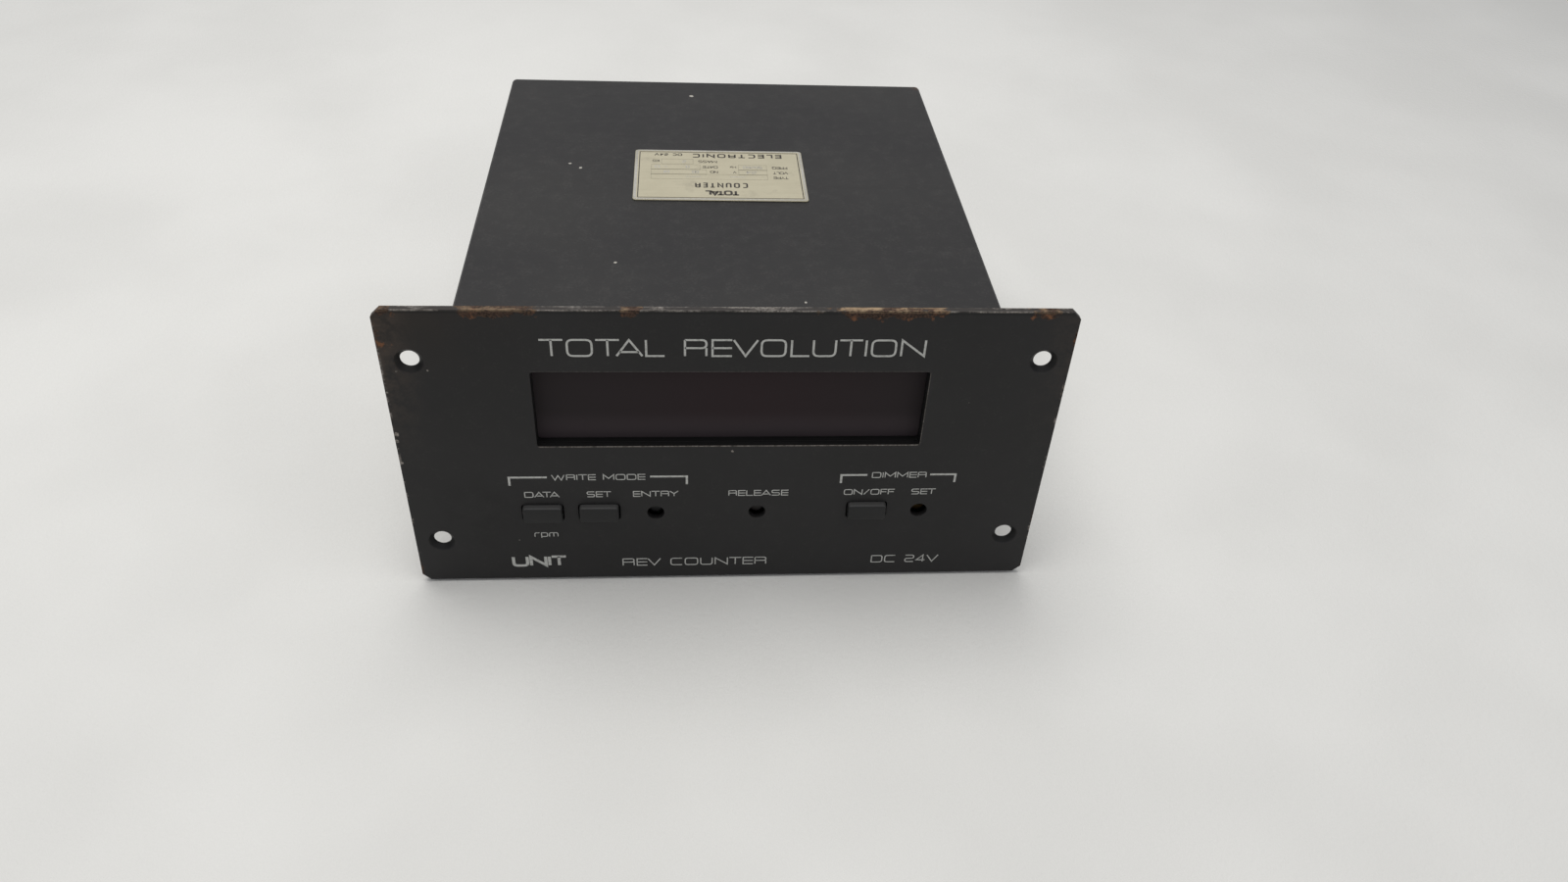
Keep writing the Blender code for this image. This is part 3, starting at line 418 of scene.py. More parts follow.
def case_enamel():
    """Satin black enamel on folded sheet, with small chips and rubbed folds."""
    finish = Finish("case_enamel")
    x, y, z = (finish.axis(name) for name in "XYZ")
    broad, ragged, fine = finish.noise(14, 3), finish.noise(240, 4, 0.6), finish.noise(1300, 3)
    folds = (CASE_HIGH.x - abs(x)).least(CASE_HIGH.y - y)
    rim = folds.between(1.1 * MM, 0.1 * MM) * (CASE_HIGH.z - z).between(1.2 * MM, 0.0)
    rubbed = rim * (ragged + broad * 0.4).between(0.58, 0.85) * 0.5
    corner = near(x, CASE_HIGH.x, 5 * MM) * near(y, CASE_HIGH.y, 6 * MM)
    corner = corner * ragged.between(0.4, 0.6)
    above = z.between(CASE_HIGH.z - 1 * MM, CASE_HIGH.z)
    chips = spots(finish, x, y, CASE_CHIPS)
    dust = (fine * ragged).between(0.2, 0.5) * 0.16
    black = finish.mix(broad.between(0.3, 0.7), srgb("282727"), srgb("2e2d2c"))
    black = finish.mix(dust, black, srgb("5c5a57"))
    colour = finish.mix(rubbed, black, srgb("77736c"))
    colour = finish.mix(chips * above * 0.9, colour, srgb("a8a49b"))
    colour = finish.mix(corner * above * 0.6, colour, srgb("6b4327"))
    scuffs = finish.noise(60, 4, 0.7, (0.25, 2.0, 1)).between(0.55, 0.75)
    rough = 0.40 + broad * 0.14 + scuffs * 0.08 + fine * 0.05
    grain = finish.noise(2200, 2) * 0.7 + finish.noise(600, 2) * 0.5
    return finish.close(colour, rough, finish.bump(grain, 0.02 * MM), Specular_IOR_Level=0.24)


def moulding(name, dark, light, rough, grain_size=1800, grain=0.012, **constants):
    """A plastic or rubber with a fine grain and slight unevenness."""
    finish = Finish(name)
    broad, fine = finish.noise(70, 3), finish.noise(grain_size, 3, 0.6)
    tone = (broad * 0.6 + fine * 0.4).between(0.3, 0.7)
    colour = finish.mix(tone, srgb(dark), srgb(light))
    roughness = rough - 0.06 + broad * 0.08 + fine * 0.05
    return finish.close(colour, roughness, finish.bump(fine, grain * MM), **constants)


def key_moulding():
    """Satin black keys, with a painted highlight where their edges face up."""
    finish = Finish("key_moulding")
    facing = finish.node("NewGeometry", output="Normal")
    upward = finish.node("SeparateXYZ", inputs={0: facing}, output="Z")
    fine = finish.noise(2400, 3)
    # Painted highlight: the worn mask lightens the keys where their edges face up, as if lit from
    # above.
    worn = upward.between(0.2, 0.75) * (0.75 + fine * 0.3)
    black = finish.mix(fine, srgb("1b1b1b"), srgb("222222"))
    colour = finish.mix(worn * 0.6, black, srgb("525150"))
    rough = 0.4 + fine * 0.1
    return finish.close(colour, rough, finish.bump(fine, 0.008 * MM), Specular_IOR_Level=0.28)


def metal(name, dark, light, rough, grain_size=700, stretch=(1, 1, 1)):
    """A plated or turned metal with handling marks and a drawn grain."""
    finish = Finish(name)
    broad, drawn = finish.noise(45, 3), finish.noise(grain_size, 4, 0.65, stretch)
    tone = (broad * 0.5 + drawn * 0.5).between(0.3, 0.7)
    colour = finish.mix(tone, srgb(dark), srgb(light))
    roughness = rough - 0.08 + broad * 0.1 + drawn * 0.12
    return finish.close(colour, roughness, finish.bump(drawn, 0.01 * MM), Metallic=1.0)


def zinc_sheet():
    """Zinc-plated sheet: faint spangle and a yellowish passivation."""
    finish = Finish("zinc_sheet")
    tone = finish.node("SeparateColor", inputs={0: finish.cells(260.0, "Color")})
    broad, fine = finish.noise(30, 3), finish.noise(1200, 3)
    colour = finish.mix(tone * 0.5 + broad * 0.5, srgb("8f8b80"), srgb("b3ad9b"))
    rough = 0.3 + tone * 0.1 + fine * 0.08
    return finish.close(colour, rough, finish.bump(fine, 0.008 * MM), Metallic=1.0)


def dark_filter():
    """Nearly opaque dark red acrylic, with faint wiping marks and painted light towards its lower
    edge.
    """
    finish = Finish("dark_filter")
    wiped = finish.noise(160, 4, 0.7, (0.3, 1, 2.0))
    middle = near(finish.axis("X"), 6 * MM, 62 * MM)
    # Painted light: paler towards the window's lower edge, to offset the shade of the recess
    # there.
    painted_light_low = finish.axis("Z").between(WINDOW_LOW.z + 11 * MM, WINDOW_LOW.z)
    colour = finish.mix(middle * 0.8, srgb("302b2c"), srgb("33292b"))
    colour = finish.mix(painted_light_low, colour, srgb("433c3e"))
    normal = finish.bump(wiped, 0.002 * MM)
    return finish.close(colour, 0.5 + wiped * 0.1, normal, Specular_IOR_Level=0.08)


def plate_aluminium():
    """Champagne aluminium label, brushed lengthwise and a little stained."""
    finish = Finish("label_aluminium")
    brushed = finish.noise(900, 4, 0.6, (0.06, 1, 1))
    stain = finish.noise(120, 4, 0.6)
    colour = finish.mix(brushed * 0.5 + stain * 0.5, srgb("a9a28a"), srgb("c4bda6"))
    colour = finish.mix(stain.between(0.56, 0.8) * 0.5, colour, srgb("8b8574"))
    normal = finish.bump(brushed, 0.006 * MM)
    return finish.close(colour, 0.42 + stain * 0.14, normal, Metallic=0.35)


def ink(name, plain, worn, rough=0.55):
    """Printed ink, uneven and a little rubbed."""
    finish = Finish(name)
    rubbed = finish.noise(900, 4, 0.7)
    colour = finish.mix(rubbed.between(0.45, 0.75), srgb(plain), srgb(worn))
    return finish.close(colour, rough + rubbed * 0.1, finish.bump(rubbed, 0.004 * MM))


def solder_mask():
    """Green circuit board with paler copper tracks under the mask."""
    finish = Finish("solder_mask")
    tracks = abs(finish.noise(55, 0.0, 0.5, (1, 0.12, 1)) - 0.5).between(0.02, 0.008)
    pads = finish.cells(420).between(0.22, 0.18)
    colour = finish.mix(finish.noise(50, 3), srgb("0f4a2a"), srgb("155a34"))
    colour = finish.mix(tracks * 0.6, colour, srgb("2c7a48"))
    colour = finish.mix(pads * 0.5, colour, srgb("a8a58c"))
    return finish.close(colour, 0.35 + pads * 0.1, finish.bump(tracks + pads, 0.02 * MM))


def tube_glass():
    """The fuse: clear glass between two plated caps."""
    finish = Finish("fuse_tube")
    low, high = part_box("fuse")
    y = finish.axis("Y")
    cap_length = 5 * MM
    from_end = (y - low.y).least(high.y - y)
    cap = from_end.between(cap_length + 0.1 * MM, cap_length - 0.1 * MM)
    colour = finish.mix(cap, srgb("cfdada"), srgb("b9b6ab"))
    rubbed = finish.noise(900, 3)
    return finish.close(colour, 0.08 + cap * 0.2 + rubbed * 0.05, Metallic=cap)


FINISHES = {
    "panel_black": plate_enamel(),
    "case_black": case_enamel(),
    "zinc_plate": zinc_sheet(),
    "frame_black": moulding(
        "frame_moulding", "0d0d0d", "131313", 0.6, Specular_IOR_Level=0.2
    ),
    "filter_red": dark_filter(),
    "button_black": key_moulding(),
    "switch_grey": moulding("switch_moulding", "34343a", "45454b", 0.5),
    "release_red": moulding("release_moulding", "1d1919", "272020", 0.5),
    "trimmer_blue": moulding("trimmer_moulding", "1d4a8c", "2a5fa8", 0.38),
    "brass": metal("turned_brass", "a07c3a", "cfa95e", 0.3, 1600, (1, 0.1, 1)),
    "board_green": solder_mask(),
    "digit_grey": moulding("digit_face", "4b4848", "585454", 0.3),
    "screw_steel": metal("screw_plating", "8e8c84", "c9c6bb", 0.28, 1500),
    "terminal_black": moulding("terminal_moulding", "141415", "202021", 0.46, 1300, 0.02),
    "plate_metal": plate_aluminium(),
    "chip_black": moulding("chip_epoxy", "17171a", "212124", 0.55),
    "can_steel": metal("tinned_can", "9a9a9c", "c4c4c6", 0.24, 500, (0.1, 1, 1)),
    "battery_green": moulding("battery_sleeve", "2f7a3c", "3f8f4c", 0.3),
    "sleeve_blue": moulding("capacitor_sleeve", "16224f", "1f2f68", 0.3),
    "fin_black": metal("fin_anodising", "17171a", "26262a", 0.42, 600, (0.1, 1, 1)),
    "ribbon_grey": moulding("ribbon_jacket", "9a9c9e", "b3b5b6", 0.45),
    "loom_black": moulding("loom_sleeve", "141414", "202020", 0.6),
    "fuse_glass": tube_glass(),
}
LEGEND_INK = ink("legend_ink", "bdbdb8", "95958f")
LABEL_INK = ink("label_ink", "2b2622", "4d463c")
FAINT_INK = ink("label_rule", "8d8775", "a29b86")
STAMPED = metal("stamped_metal", "e2dcc8", "fffaf0", 0.3, 1500)
AGED_BRASS = metal("aged_brass", "2c2316", "4a3a20", 0.45, 1600)


def placed(name, data):
    """An object for a mesh, a light or a camera, in the scene."""
    obj = bpy.data.objects.new(name, data)
    bpy.context.scene.collection.objects.link(obj)
    return obj


def add_piece(name, mesh, finish, body, replaced=()):
    """Puts a finished mesh in the scene, riding on its body."""
    piece = placed(name, mesh)
    mesh.materials.clear()
    mesh.materials.append(finish)
    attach(piece, body)
    if replaced:
        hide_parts(*replaced)
    return piece


def mesh_from(name, shape):
    """A mesh from a shape, which is used up."""
    mesh = bpy.data.meshes.new(name)
    shape.to_mesh(mesh)
    shape.free()
    return mesh


def eased(name, node, width, segments=2, angle=30):
    """A copy of a CAD node with its sharp edges eased by that width, its broad faces kept flat."""
    source = frame["nodes"][node]
    shape = bmesh.new()
    shape.from_mesh(source.data)
    bmesh.ops.remove_doubles(shape, verts=shape.verts[:], dist=0.002 * MM)
    bmesh.ops.dissolve_limit(
        shape, angle_limit=radians(0.5), verts=shape.verts[:], edges=shape.edges[:]
    )
    for face in shape.faces:
        face.smooth = face.calc_area() < BROAD_FACE
    slot = SLOTS[node]
    mesh = mesh_from(name, shape)
    piece = add_piece(name, mesh, FINISHES[slot], source["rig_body"], [node])
    bevel = piece.modifiers.new("eased", "BEVEL")
    bevel.width, bevel.segments = width, segments
    bevel.limit_method, bevel.angle_limit = "ANGLE", radians(angle)
    bevel.harden_normals = True
    bevel.miter_outer = "MITER_ARC"
    return piece


def dress_cad_nodes():
    """Gives every CAD node its own finish."""
    for name, node in frame["nodes"].items():
        finish = AGED_BRASS if name == "trimmer_rotor" else FINISHES[SLOTS[name]]
        node.data.materials.clear()
        node.data.materials.append(finish)


def rounded(points, radius, closed):
    """The line with an arc of up to that radius at each corner."""
    made, last = [], len(points) - 1
    for i, point in enumerate(points):
        if not closed and i in (0, last):
            made.append(point)
            continue
        before, after = points[i - 1] - point, points[(i + 1) % len(points)] - point
        size = min(radius, before.length * 0.49, after.length * 0.49)
        start, end = point + before.normalized() * size, point + after.normalized() * size
        for step in range(5):
            share = step / 4
            made.append(start.lerp(point, share).lerp(point.lerp(end, share), share))
    return made


def ribbon(shape, surface, points, width, closed=False, height=PRINT_HEIGHT):
    """A flat raised line of one width along points of a surface."""
    origin, right, up = surface
    out = right.cross(up)
    count = len(points)
    rows = []
    for i, point in enumerate(points):
        ways = []
        if closed or i > 0:
            ways.append((point - points[i - 1]).normalized())
        if closed or i < count - 1:
            ways.append((points[(i + 1) % count] - point).normalized())
        way = sum(ways, Vector((0, 0))).normalized()
        reach = width / 2 / max(0.35, way.dot(ways[0]))
        normal = Vector((-way.y, way.x)) * reach
        row = []
        for side, lift in ((-1, 0), (1, 0), (1, height), (-1, height)):
            flat = point + normal * side
            row.append(shape.verts.new(origin + right * flat.x + up * flat.y + out * lift))
        rows.append(row)
    pairs = list(zip(rows, rows[1:]))
    if closed:
        pairs.append((rows[-1], rows[0]))
    else:
        shape.faces.new(rows[0])
        shape.faces.new(rows[-1][::-1])
    for (r0, l0, lt0, rt0), (r1, l1, lt1, rt1) in pairs:
        shape.faces.new((rt0, rt1, lt1, lt0))
        shape.faces.new((r0, r1, rt1, rt0))
        shape.faces.new((l1, l0, lt0, lt1))
        shape.faces.new((l0, l1, r1, r0))


def letter(shape, surface, strokes, corner, size, width):
    """One character, from its strokes."""
    for stroke in strokes.split(", "):
        closed, soft = stroke[0] == "o", stroke[0] in "o~"
        points = [
            corner + Vector((int(pair[0]) * size[0] / 8, int(pair[1]) * size[1] / 8))
            for pair in stroke.lstrip("o~").split()
        ]
        if soft:
            points = rounded(points, size[1] * CORNER_ROUNDING, closed)
        ribbon(shape, surface, points, width, closed)


def gap_between(first, second, spread):
    """The room between two characters, closer where one of them is open on that side."""
    opened = (first in OPEN_RIGHT) + (second in OPEN_LEFT)
    tucked = TUCK if first + second in TUCKED_PAIRS else 0.0
    return LETTER_GAP + spread - opened * OPENING - tucked


def words(shape, surface, text, left, right, foot, head, width, spread=0.0):
    """Lettering that fills the room between left and right, in millimetres."""
    inset = width / 2
    left, right, foot, head = left + inset, right - inset, foot + inset, head - inset
    letters = [(WORD_GAP, "") if character == " " else LETTERS[character] for character in text]
    gaps = [gap_between(first, second, spread) for first, second in zip(text, text[1:])]
    unit = (right - left) / (sum(size for size, _ in letters) + sum(gaps))
    place = left
    for (size, strokes), gap in zip(letters, gaps + [0.0]):
        if strokes:
            corner = Vector((place, foot)) * MM
            size_on_plate = (size * unit * MM, (head - foot) * MM)
            letter(shape, surface, strokes, corner, size_on_plate, width * MM)
        place += (size + gap) * unit


def lines(shape, surface, paths, width):
    """Plain lines through points in millimetres."""
    for path in paths:
        ribbon(shape, surface, [Vector(point) * MM for point in path], width * MM)


def plate_legends():
    """The printing on the front plate."""
    surface = (Vector((0, PLATE_FACE, 0)), Vector((1, 0, 0)), Vector((0, 0, 1)))
    shape = bmesh.new()
    for row in PLATE_WORDS:
        words(shape, surface, *row)
    for (a, b), (c, d) in BRACKETS:
        paths = (
            ((a, BRACKET_FOOT), (a, BRACKET_LINE), (b, BRACKET_LINE)),
            ((c, BRACKET_LINE), (d, BRACKET_LINE), (d, BRACKET_FOOT)),
        )
        lines(shape, surface, paths, BRACKET_WIDTH)
    mesh = mesh_from("plate_legends", shape)
    add_piece("plate_legends", mesh, LEGEND_INK, "counter")


def frame_line(left, right, foot, head):
    """The corners of a frame, from millimetres."""
    corners = ((left, foot), (right, foot), (right, head), (left, head))
    return [Vector(corner) * MM for corner in corners]


def label_printing():
    """The case's label, read from behind: its border, ruled fields, words and stamped figures."""
    middle = (NAME_LOW + NAME_HIGH) / 2
    surface = (Vector((middle.x, middle.y, NAME_HIGH.z)), Vector((-1, 0, 0)), Vector((0, -1, 0)))
    half_wide = (NAME_HIGH.x - NAME_LOW.x) / 2 / MM
    half_deep = (NAME_HIGH.y - NAME_LOW.y) / 2 / MM
    rim = bmesh.new()
    wide, deep = half_wide - 0.6, half_deep - 0.6
    border = rounded(frame_line(-wide, wide, -deep, deep), 1 * MM, True)
    ribbon(rim, surface, border, 0.9 * MM, True, 0.08 * MM)
    add_piece("label_rim", mesh_from("label_rim", rim), STAMPED, "counter")
    dark = bmesh.new()
    wide, deep = half_wide - 1.6, half_deep - 1.6
    ribbon(dark, surface, frame_line(-wide, wide, -deep, deep), 0.32 * MM, True)
    for row in (
        ("TOTAL", -6.5, 5.6, 11.6, 15.0, 0.8),
        ("COUNTER", -9.4, 8.7, 6.1, 9.6, 0.6, 0.9),
        ("ELECTRONIC", -22.3, 9.5, -15.8, -12.8, 0.6, 0.5),
        ("DC 24V", 13.0, 22.8, -15.8, -14.0, 0.35, 0.3),
        ("TYPE", -23.8, -18.4, 1.0, 2.8, 0.25),
        ("VOLT", -23.8, -18.4, -2.6, -0.8, 0.25),
        ("FREQ", -23.8, -18.4, -6.4, -4.6, 0.25),
        ("V", -5.8, -4.6, -2.6, -1.0, 0.2),
        ("Hz", -5.8, -3.6, -6.4, -4.9, 0.2),
        ("NO.", 0.6, 3.6, -2.7, -1.0, 0.25),
        ("DATE", 0.6, 6.0, -6.4, -4.7, 0.25),
        ("MASS", 0.8, 7.4, -10.6, -8.8, 0.25),
        ("KG", 21.0, 23.4, -10.8, -9.2, 0.2),
    ):
        words(dark, surface, *row)
    add_piece("label_words", mesh_from("label_words", dark), LABEL_INK, "counter")
    faint = bmesh.new()
    for corners in (
        frame_line(-16.5, 23.7, 0.0, 3.5),
        frame_line(-16.5, -6.6, -3.6, 0.0),
        frame_line(-16.5, -6.6, -7.4, -3.6),
        frame_line(4.6, 23.7, -3.6, 0.0),
        frame_line(6.8, 23.7, -7.3, -3.6),
        frame_line(9.2, 20.2, -11.4, -7.8),
    ):
        ribbon(faint, surface, corners, 0.16 * MM, True)
    add_piece("label_rules", mesh_from("label_rules", faint), FAINT_INK, "counter")
    stamped = bmesh.new()
    for row in (
        ("- -", -9.0, 12.0, 0.9, 2.6, 0.4),
        ("24", -12.8, -9.0, -2.8, -0.8, 0.4),
        ("50/60", -15.0, -8.2, -6.6, -4.6, 0.4),
        ("00", 7.2, 9.6, -2.8, -0.8, 0.4),
        ("01", 17.4, 19.6, -2.8, -0.8, 0.4),
        ("0", 10.4, 11.8, -6.6, -4.6, 0.4),
        ("- 0", 18.0, 22.6, -6.6, -4.6, 0.4),
        ("2", 11.6, 13.0, -10.6, -8.6, 0.4),
    ):
        words(stamped, surface, *row)
    mesh = mesh_from("label_stamping", stamped)
    add_piece("label_stamping", mesh, STAMPED, "counter")


def rear_legends():
    """Pole numbers, the supply, the fuse's name and the earth sign on the rear plate."""
    surface = (Vector((0, REAR_BACK, 0)), Vector((-1, 0, 0)), Vector((0, 0, 1)))
    shape = bmesh.new()

    def over(node):
        """The middle and the top of a node, in millimetres, seen from behind."""
        low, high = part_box(node)
        return -(low.x + high.x) / 2 / MM, high.z / MM

    def line_over(node_x, top, text, half_wide, rise, height, width):
        row = (text, node_x - half_wide, node_x + half_wide, top + rise, top + rise + height)
        words(shape, surface, *row, width)

    block_x, block_top = over("terminal_block")
    for number in range(1, 7):
        x, _ = over(f"terminal_screw_{number}")
        line_over(x, block_top, str(7 - number), 1.0, 2.0, 3.0, 0.4)
    line_over(block_x, block_top, "DC 24V", 8.5, 8.5, 3.2, 0.42)
    line_over(*over("fuse_holder"), "FUSE", 5.0, 3.0, 3.0, 0.4)
    x, top = over("earth_screw")
    paths = [((x, top + 6.4), (x, top + 9.4))]
    for rise, half_wide in ((6.4, 2.4), (5.2, 1.6), (4.0, 0.8)):
        paths.append(((x - half_wide, top + rise), (x + half_wide, top + rise)))
    lines(shape, surface, paths, 0.4)
    mesh = mesh_from("rear_legends", shape)
    add_piece("rear_legends", mesh, LEGEND_INK, "counter")


def spin(profile, sides=32):
    """A turned mesh about Z, from (radius, height) points that run from axis to axis."""
    shape = bmesh.new()
    rings = []
    for radius, height in profile:
        if radius == 0:
            rings.append([shape.verts.new((0, 0, height))])
            continue
        turn = [2 * pi * i / sides for i in range(sides)]
        rings.append([shape.verts.new((radius * cos(a), radius * sin(a), height)) for a in turn])
    for low, high in zip(rings, rings[1:]):
        for i in range(sides):
            j = (i + 1) % sides
            if len(low) == 1:
                shape.faces.new((low[0], high[i], high[j]))
            elif len(high) == 1:
                shape.faces.new((low[i], high[0], low[j]))
            else:
                shape.faces.new((low[i], high[i], high[j], low[j]))
    bmesh.ops.recalc_face_normals(shape, faces=shape.faces[:])
    return shape


def block(shape, low, high, taper=1.0):
    """Adds a box to a shape, with its foot drawn in by the taper."""
    made = bmesh.ops.create_cube(shape, size=1.0)["verts"]
    middle = [(a + b) / 2 for a, b in zip(low, high)]
    for vert in made:
        draw = taper if vert.co.z < 0 else 1.0
        for i in range(3):
            reach = (high[i] - low[i]) * (draw if i < 2 else 1)
            vert.co[i] = middle[i] + vert.co[i] * reach


def cross_head(name, solid, top, reach, width, depth, slot_only=False):
    """Cuts a cross or a slot into the top of a head and gives back the finished mesh."""
    body = placed(name, mesh_from(name, solid))
    slot, crossing = (reach, width / 2), (width / 2, reach)
    tools = []
    for x, y in (slot,) if slot_only else (slot, crossing):
        cutter = bmesh.new()
        block(cutter, (-x, -y, top - depth), (x, y, top + depth), 0.8)
        tools.append(placed(name + "_cutter", mesh_from(name + "_cutter", cutter)))
    for tool in tools:
        cut = body.modifiers.new("cut", "BOOLEAN")
        cut.object, cut.operation, cut.solver = tool, "DIFFERENCE", "EXACT"
    bevel = body.modifiers.new("eased", "BEVEL")
    bevel.width, bevel.segments, bevel.limit_method = 0.06 * MM, 2, "ANGLE"
    mesh = evaluated_mesh(body)
    for obj in (body, *tools):
        bpy.data.objects.remove(obj)
    return mesh


def evaluated_mesh(obj):
    """The object's mesh with its modifiers applied."""
    graph = bpy.context.evaluated_depsgraph_get()
    return bpy.data.meshes.new_from_object(obj.evaluated_get(graph), depsgraph=graph)


def repeat_tree():
    """Stands a part on every point along the point's axis, turned at random, as real geometry."""
    tree = bpy.data.node_groups.new("stand_on_points", "GeometryNodeTree")
    sockets = (
        ("Points", "NodeSocketGeometry"),
        ("Part", "NodeSocketObject"),
        ("Finish", "NodeSocketMaterial"),
        ("Most turn", "NodeSocketFloat"),
        ("Seed", "NodeSocketInt"),
    )
    for label, kind in sockets:
        tree.interface.new_socket(label, in_out="INPUT", socket_type=kind)
    tree.interface.new_socket("Parts", in_out="OUTPUT", socket_type="NodeSocketGeometry")
    graph = Graph(tree)
    given = tree.nodes.new("NodeGroupInput")
    points, part, finish, most, seed = (Value(graph, given.outputs[label]) for label, _ in sockets)
    named = {"data_type": "FLOAT_VECTOR"}
    axis = graph.node("GeometryNodeInputNamedAttribute", named, {"Name": "axis"})
    stand = graph.node("FunctionNodeAlignRotationToVector", {"axis": "Z"}, {"Vector": axis})
    least = graph.node("ShaderNodeMath", {"operation": "MULTIPLY"}, {0: most, 1: -1.0})
    limits = {2: least, 3: most, "Seed": seed}
    turn = graph.node("FunctionNodeRandomValue", {"data_type": "FLOAT"}, limits, 1)
    spun = graph.node("ShaderNodeCombineXYZ", inputs={"Z": turn})
    spun = graph.node("FunctionNodeEulerToRotation", inputs={0: spun})
    local = {"rotation_space": "LOCAL"}
    stand = graph.node("FunctionNodeRotateRotation", local, {0: stand, 1: spun})
    info = graph.node("GeometryNodeObjectInfo", inputs={"Object": part}, output="Geometry")
    copies = {"Points": points, "Instance": info, "Rotation": stand}
    made = graph.node("GeometryNodeInstanceOnPoints", inputs=copies)
    made = graph.node("GeometryNodeRealizeInstances", inputs={0: made})
    made = graph.node("GeometryNodeSetMaterial", inputs={"Geometry": made, "Material": finish})
    graph.node("NodeGroupOutput", inputs={0: made})
    return tree


def stand(name, part, places, slot, replaced, most_turn=0.0, seed=1, finish=None):
    """A part stood on each (place, axis), made one mesh."""
    finish = finish or FINISHES[slot]
    mesh = bpy.data.meshes.new(name + "_places")
    mesh.from_pydata([place for place, _ in places], [], [])
    axes = mesh.attributes.new("axis", "FLOAT_VECTOR", "POINT")
    axes.data.foreach_set("vector", [number for _, axis in places for number in axis])
    holder = placed(name + "_places", mesh)
    model = placed(name + "_part", part)
    modifier = holder.modifiers.new("stand", "NODES")
    modifier.node_group = REPEAT
    values = {"Part": model, "Finish": finish, "Most turn": most_turn, "Seed": seed}
    for item in REPEAT.interface.items_tree:
        if item.name in values:
            modifier[item.identifier] = values[item.name]
    made = evaluated_mesh(holder)
    for obj in (holder, model):
        bpy.data.objects.remove(obj)
    return add_piece(name, made, finish, "counter", replaced)


def pan_head(name, radius, height, shank, length):
    """A pan-head screw with a cross recess; its head stands on the ground plane."""
    profile = [
        (0, height),
        (radius * 0.35, height * 0.985),
        (radius * 0.62, height * 0.93),
        (radius * 0.82, height * 0.78),
        (radius * 0.94, height * 0.56),
        (radius, height * 0.28),
        (radius * 0.99, 0),
        (shank, 0),
        (shank, -length),
        (0, -length),
    ]
    return cross_head(name, spin(profile), height, radius * 0.62, radius * 0.24, height * 0.55)


def seats(nodes, head):
    """Where the heads of screws that point to the rear are seated, each with its axis."""
    places = []
    for node in nodes:
        low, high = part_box(node)
        places.append((((low.x + high.x) / 2, high.y - head, (low.z + high.z) / 2), (0, 1, 0)))
    return places


def clamp_mesh():
    """A terminal's round-headed screw on its turned-down clamping plate."""
    profile = [
        (0, CLAMP_HEAD),
        (2.0 * MM, 1.7 * MM),
        (2.75 * MM, 1.45 * MM),
        (2.9 * MM, 0.9 * MM),
        (2.9 * MM, -0.8 * MM),
        (0, -0.8 * MM),
    ]
    head = cross_head("clamp_head", spin(profile), CLAMP_HEAD, 2.1 * MM, 0.75 * MM, 0.8 * MM)
    half_wide, half_long, lip = 3.8 * MM, 6.0 * MM, 0.8 * MM
    whole = bmesh.new()
    whole.from_mesh(head)
    block(whole, (-half_wide, -half_long, 0), (half_wide, half_long, 0.55 * MM))
    for low, high in ((-half_long, lip - half_long), (half_long - lip, half_long)):
        block(whole, (-half_wide, low, 0.1 * MM), (half_wide, high, 0.9 * MM))
    return mesh_from("clamp_screw", whole)


def earth_mesh():
    """A slotted brass screw on its dished washer."""
    profile = [
        (0, 2.8),
        (2.0, 2.75),
        (3.0, 2.3),
        (3.5, 1.7),
        (3.6, 0.9),
        (4.5, 0.75),
        (4.6, 0.4),
        (4.5, 0.02),
        (2.0, 0),
        (1.9, -9.9),
        (0, -9.9),
    ]
    solid = spin([(radius * MM, height * MM) for radius, height in profile])
    return cross_head("earth_head", solid, EARTH_HEAD, 3.7 * MM, 0.9 * MM, 1.0 * MM, True)


def screws():
    """Cross-recess screws on the case's flanks and back, the clamp screws and the earth screw."""
    case = pan_head("case_screw", 2.7 * MM, CASE_HEAD, 1.4 * MM, 6.3 * MM)
    flank_nodes = [f"cover_screw_{number}" for number in range(1, 5)]
    rear_nodes = [f"rear_screw_{number}" for number in range(1, 5)]
    places = []
    for node in flank_nodes:
        low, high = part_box(node)
        side = 1 if low.x + high.x > 0 else -1
        seat = (high.x - CASE_HEAD) if side > 0 else (low.x + CASE_HEAD)
        places.append(((seat, (low.y + high.y) / 2, (low.z + high.z) / 2), (side, 0, 0)))
    places += seats(rear_nodes, CASE_HEAD)
    stand("case_screws", case, places, "screw_steel", flank_nodes + rear_nodes, 1.5, 4)
    nodes = [f"terminal_screw_{number}" for number in range(1, 7)]
    stand("clamp_screws", clamp_mesh(), seats(nodes, CLAMP_HEAD), "screw_steel", nodes)
    nodes = ["earth_screw"]
    stand("earthing_screw", earth_mesh(), seats(nodes, EARTH_HEAD), "brass", nodes, 0.6, 2)


def digit_segments():
    """Seven bars and a point on the face of each digit."""
    shape = bmesh.new()
    surface = (Vector((0, 0, 0)), Vector((1, 0, 0)), Vector((0, 1, 0)))
    bars = (
        ((-2.6, 7), (2.6, 7)),
        ((3.2, 6.4), (3.2, 0.6)),
        ((3.2, -0.6), (3.2, -6.4)),
        ((-2.6, -7), (2.6, -7)),
        ((-3.2, -6.4), (-3.2, -0.6)),
        ((-3.2, 0.6), (-3.2, 6.4)),
        ((-2.6, 0), (2.6, 0)),
        ((4.9, -7.2), (5.6, -7.2)),
    )
    lines(shape, surface, bars, 0.9)
    mesh = mesh_from("segments", shape)
    lit = ink("digit_segments", "8f6a66", "9c7a74", 0.35)
    for number in (1, 2):
        low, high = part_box(f"led_digits_{number}")
        pitch = (high.x - low.x) / 4
        middle = (low.z + high.z) / 2
        places = [((low.x + (i + 0.5) * pitch, low.y, middle), (0, -1, 0)) for i in range(4)]
        stand(f"digit_bars_{number}", mesh.copy(), places, "digit_grey", [], finish=lit)


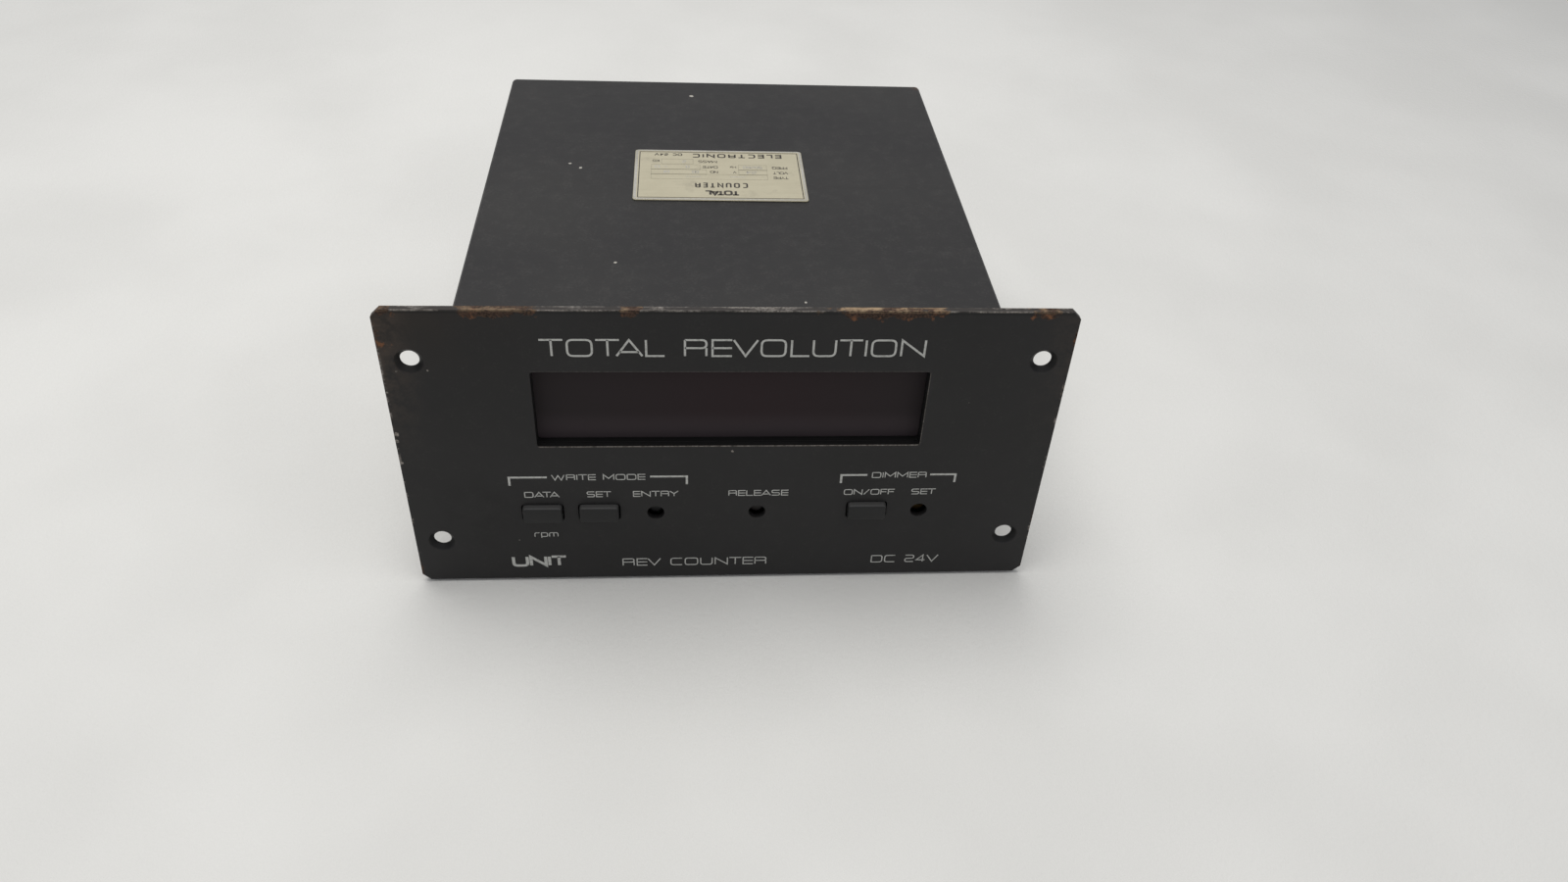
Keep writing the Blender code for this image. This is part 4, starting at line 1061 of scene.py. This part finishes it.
def ease_cad_shapes():
    """The visible CAD shapes with eased edges."""
    eased("front_plate", "front_panel", 0.18 * MM, 3)
    eased("window_surround", "window_frame", 0.15 * MM)
    eased("folded_cover", "case_cover", 0.12 * MM)
    eased("tray", "chassis_tray", 0.1 * MM)
    eased("rear_plate", "rear_panel", 0.12 * MM)
    eased("label_blank", "nameplate", 0.06 * MM)
    eased("barrier_strip", "terminal_block", 0.25 * MM, 3)
    eased("fuse_body", "fuse_holder", 0.15 * MM)
    eased("fuse_knob", "fuse_cap", 0.2 * MM)
    for name in ("data", "set", "dimmer"):
        eased(f"{name}_key", f"{name}_button", 0.2 * MM, 3, 25)
    for name in ("entry", "release"):
        eased(f"{name}_pin", f"{name}_plunger", 0.1 * MM)


def floor():
    """A pale plain floor that the plate's foot and the case's rear foot rest on."""
    foot, heel = PLATE_HIGH.y, CASE_HIGH.y
    slope = REST_HEIGHT / (heel - foot)
    shape = bmesh.new()
    corners = []
    for x, y in ((-1, -1), (1, -1), (1, 1), (-1, 1)):
        x, y = x * FLOOR_REACH, y * FLOOR_REACH
        corners.append(shape.verts.new((x, y, (y - foot) * slope)))
    shape.faces.new(corners)
    ground = placed("floor", mesh_from("floor", shape))
    finish = Finish("floor_foam")
    mottle, fine = finish.noise(9, 3), finish.noise(420, 4, 0.7)
    colour = finish.mix(mottle.between(0.3, 0.7), srgb("d3d2ce"), srgb("dad9d5"))
    ground.data.materials.append(finish.close(colour, 0.75, finish.bump(fine, 0.25 * MM)))


def lamp(name, place, target, size, power, tone=(1.0, 1.0, 1.0)):
    """A soft square light."""
    light = bpy.data.lights.new(name, "AREA")
    light.shape, light.size, light.energy, light.color = "SQUARE", size, power, tone
    obj = placed(name, light)
    obj.location = place
    obj.rotation_euler = (Vector(target) - Vector(place)).to_track_quat("-Z", "Y").to_euler()


def studio():
    """Soft light from above and behind, with the room's pale light all round."""
    world = bpy.data.worlds.new("room")
    world.use_nodes = True
    background = world.node_tree.nodes["Background"].inputs
    background["Color"].default_value = (0.93, 0.95, 1.0, 1.0)
    background["Strength"].default_value = 0.42
    bpy.context.scene.world = world
    lamp("key", (-0.12, 0.04, 1.0), (-0.05, 0.06, 0), 0.8, 8.6, (1.0, 0.99, 0.97))
    lamp("fill", (0.9, -1.1, 1.3), (0, 0, 0.05), 1.2, 2.5)


def camera():
    """The view from above and in front, turned a little about its own axis."""
    place = Vector((-0.0138, -0.3743, 0.2893))
    target = Vector((0.0264, 0, -0.0201))
    roll = radians(3.6)
    data = bpy.data.cameras.new("camera")
    data.lens, data.sensor_width = 27.27, 36.0
    data.clip_start, data.clip_end = 0.01, 50.0
    obj = placed("camera", data)
    turn = (target - place).to_track_quat("-Z", "Y").to_matrix() @ Matrix.Rotation(roll, 3, "Z")
    obj.matrix_world = Matrix.Translation(place) @ turn.to_4x4()
    bpy.context.scene.camera = obj
    bpy.context.scene.view_settings.view_transform = "Standard"


SLOTS = {part["node"]: part["material_slot"] for part in frame["record"]["subparts"]}
REPEAT = repeat_tree()
camera()
studio()
floor()
dress_cad_nodes()
ease_cad_shapes()
screws()
digit_segments()
plate_legends()
label_printing()
rear_legends()
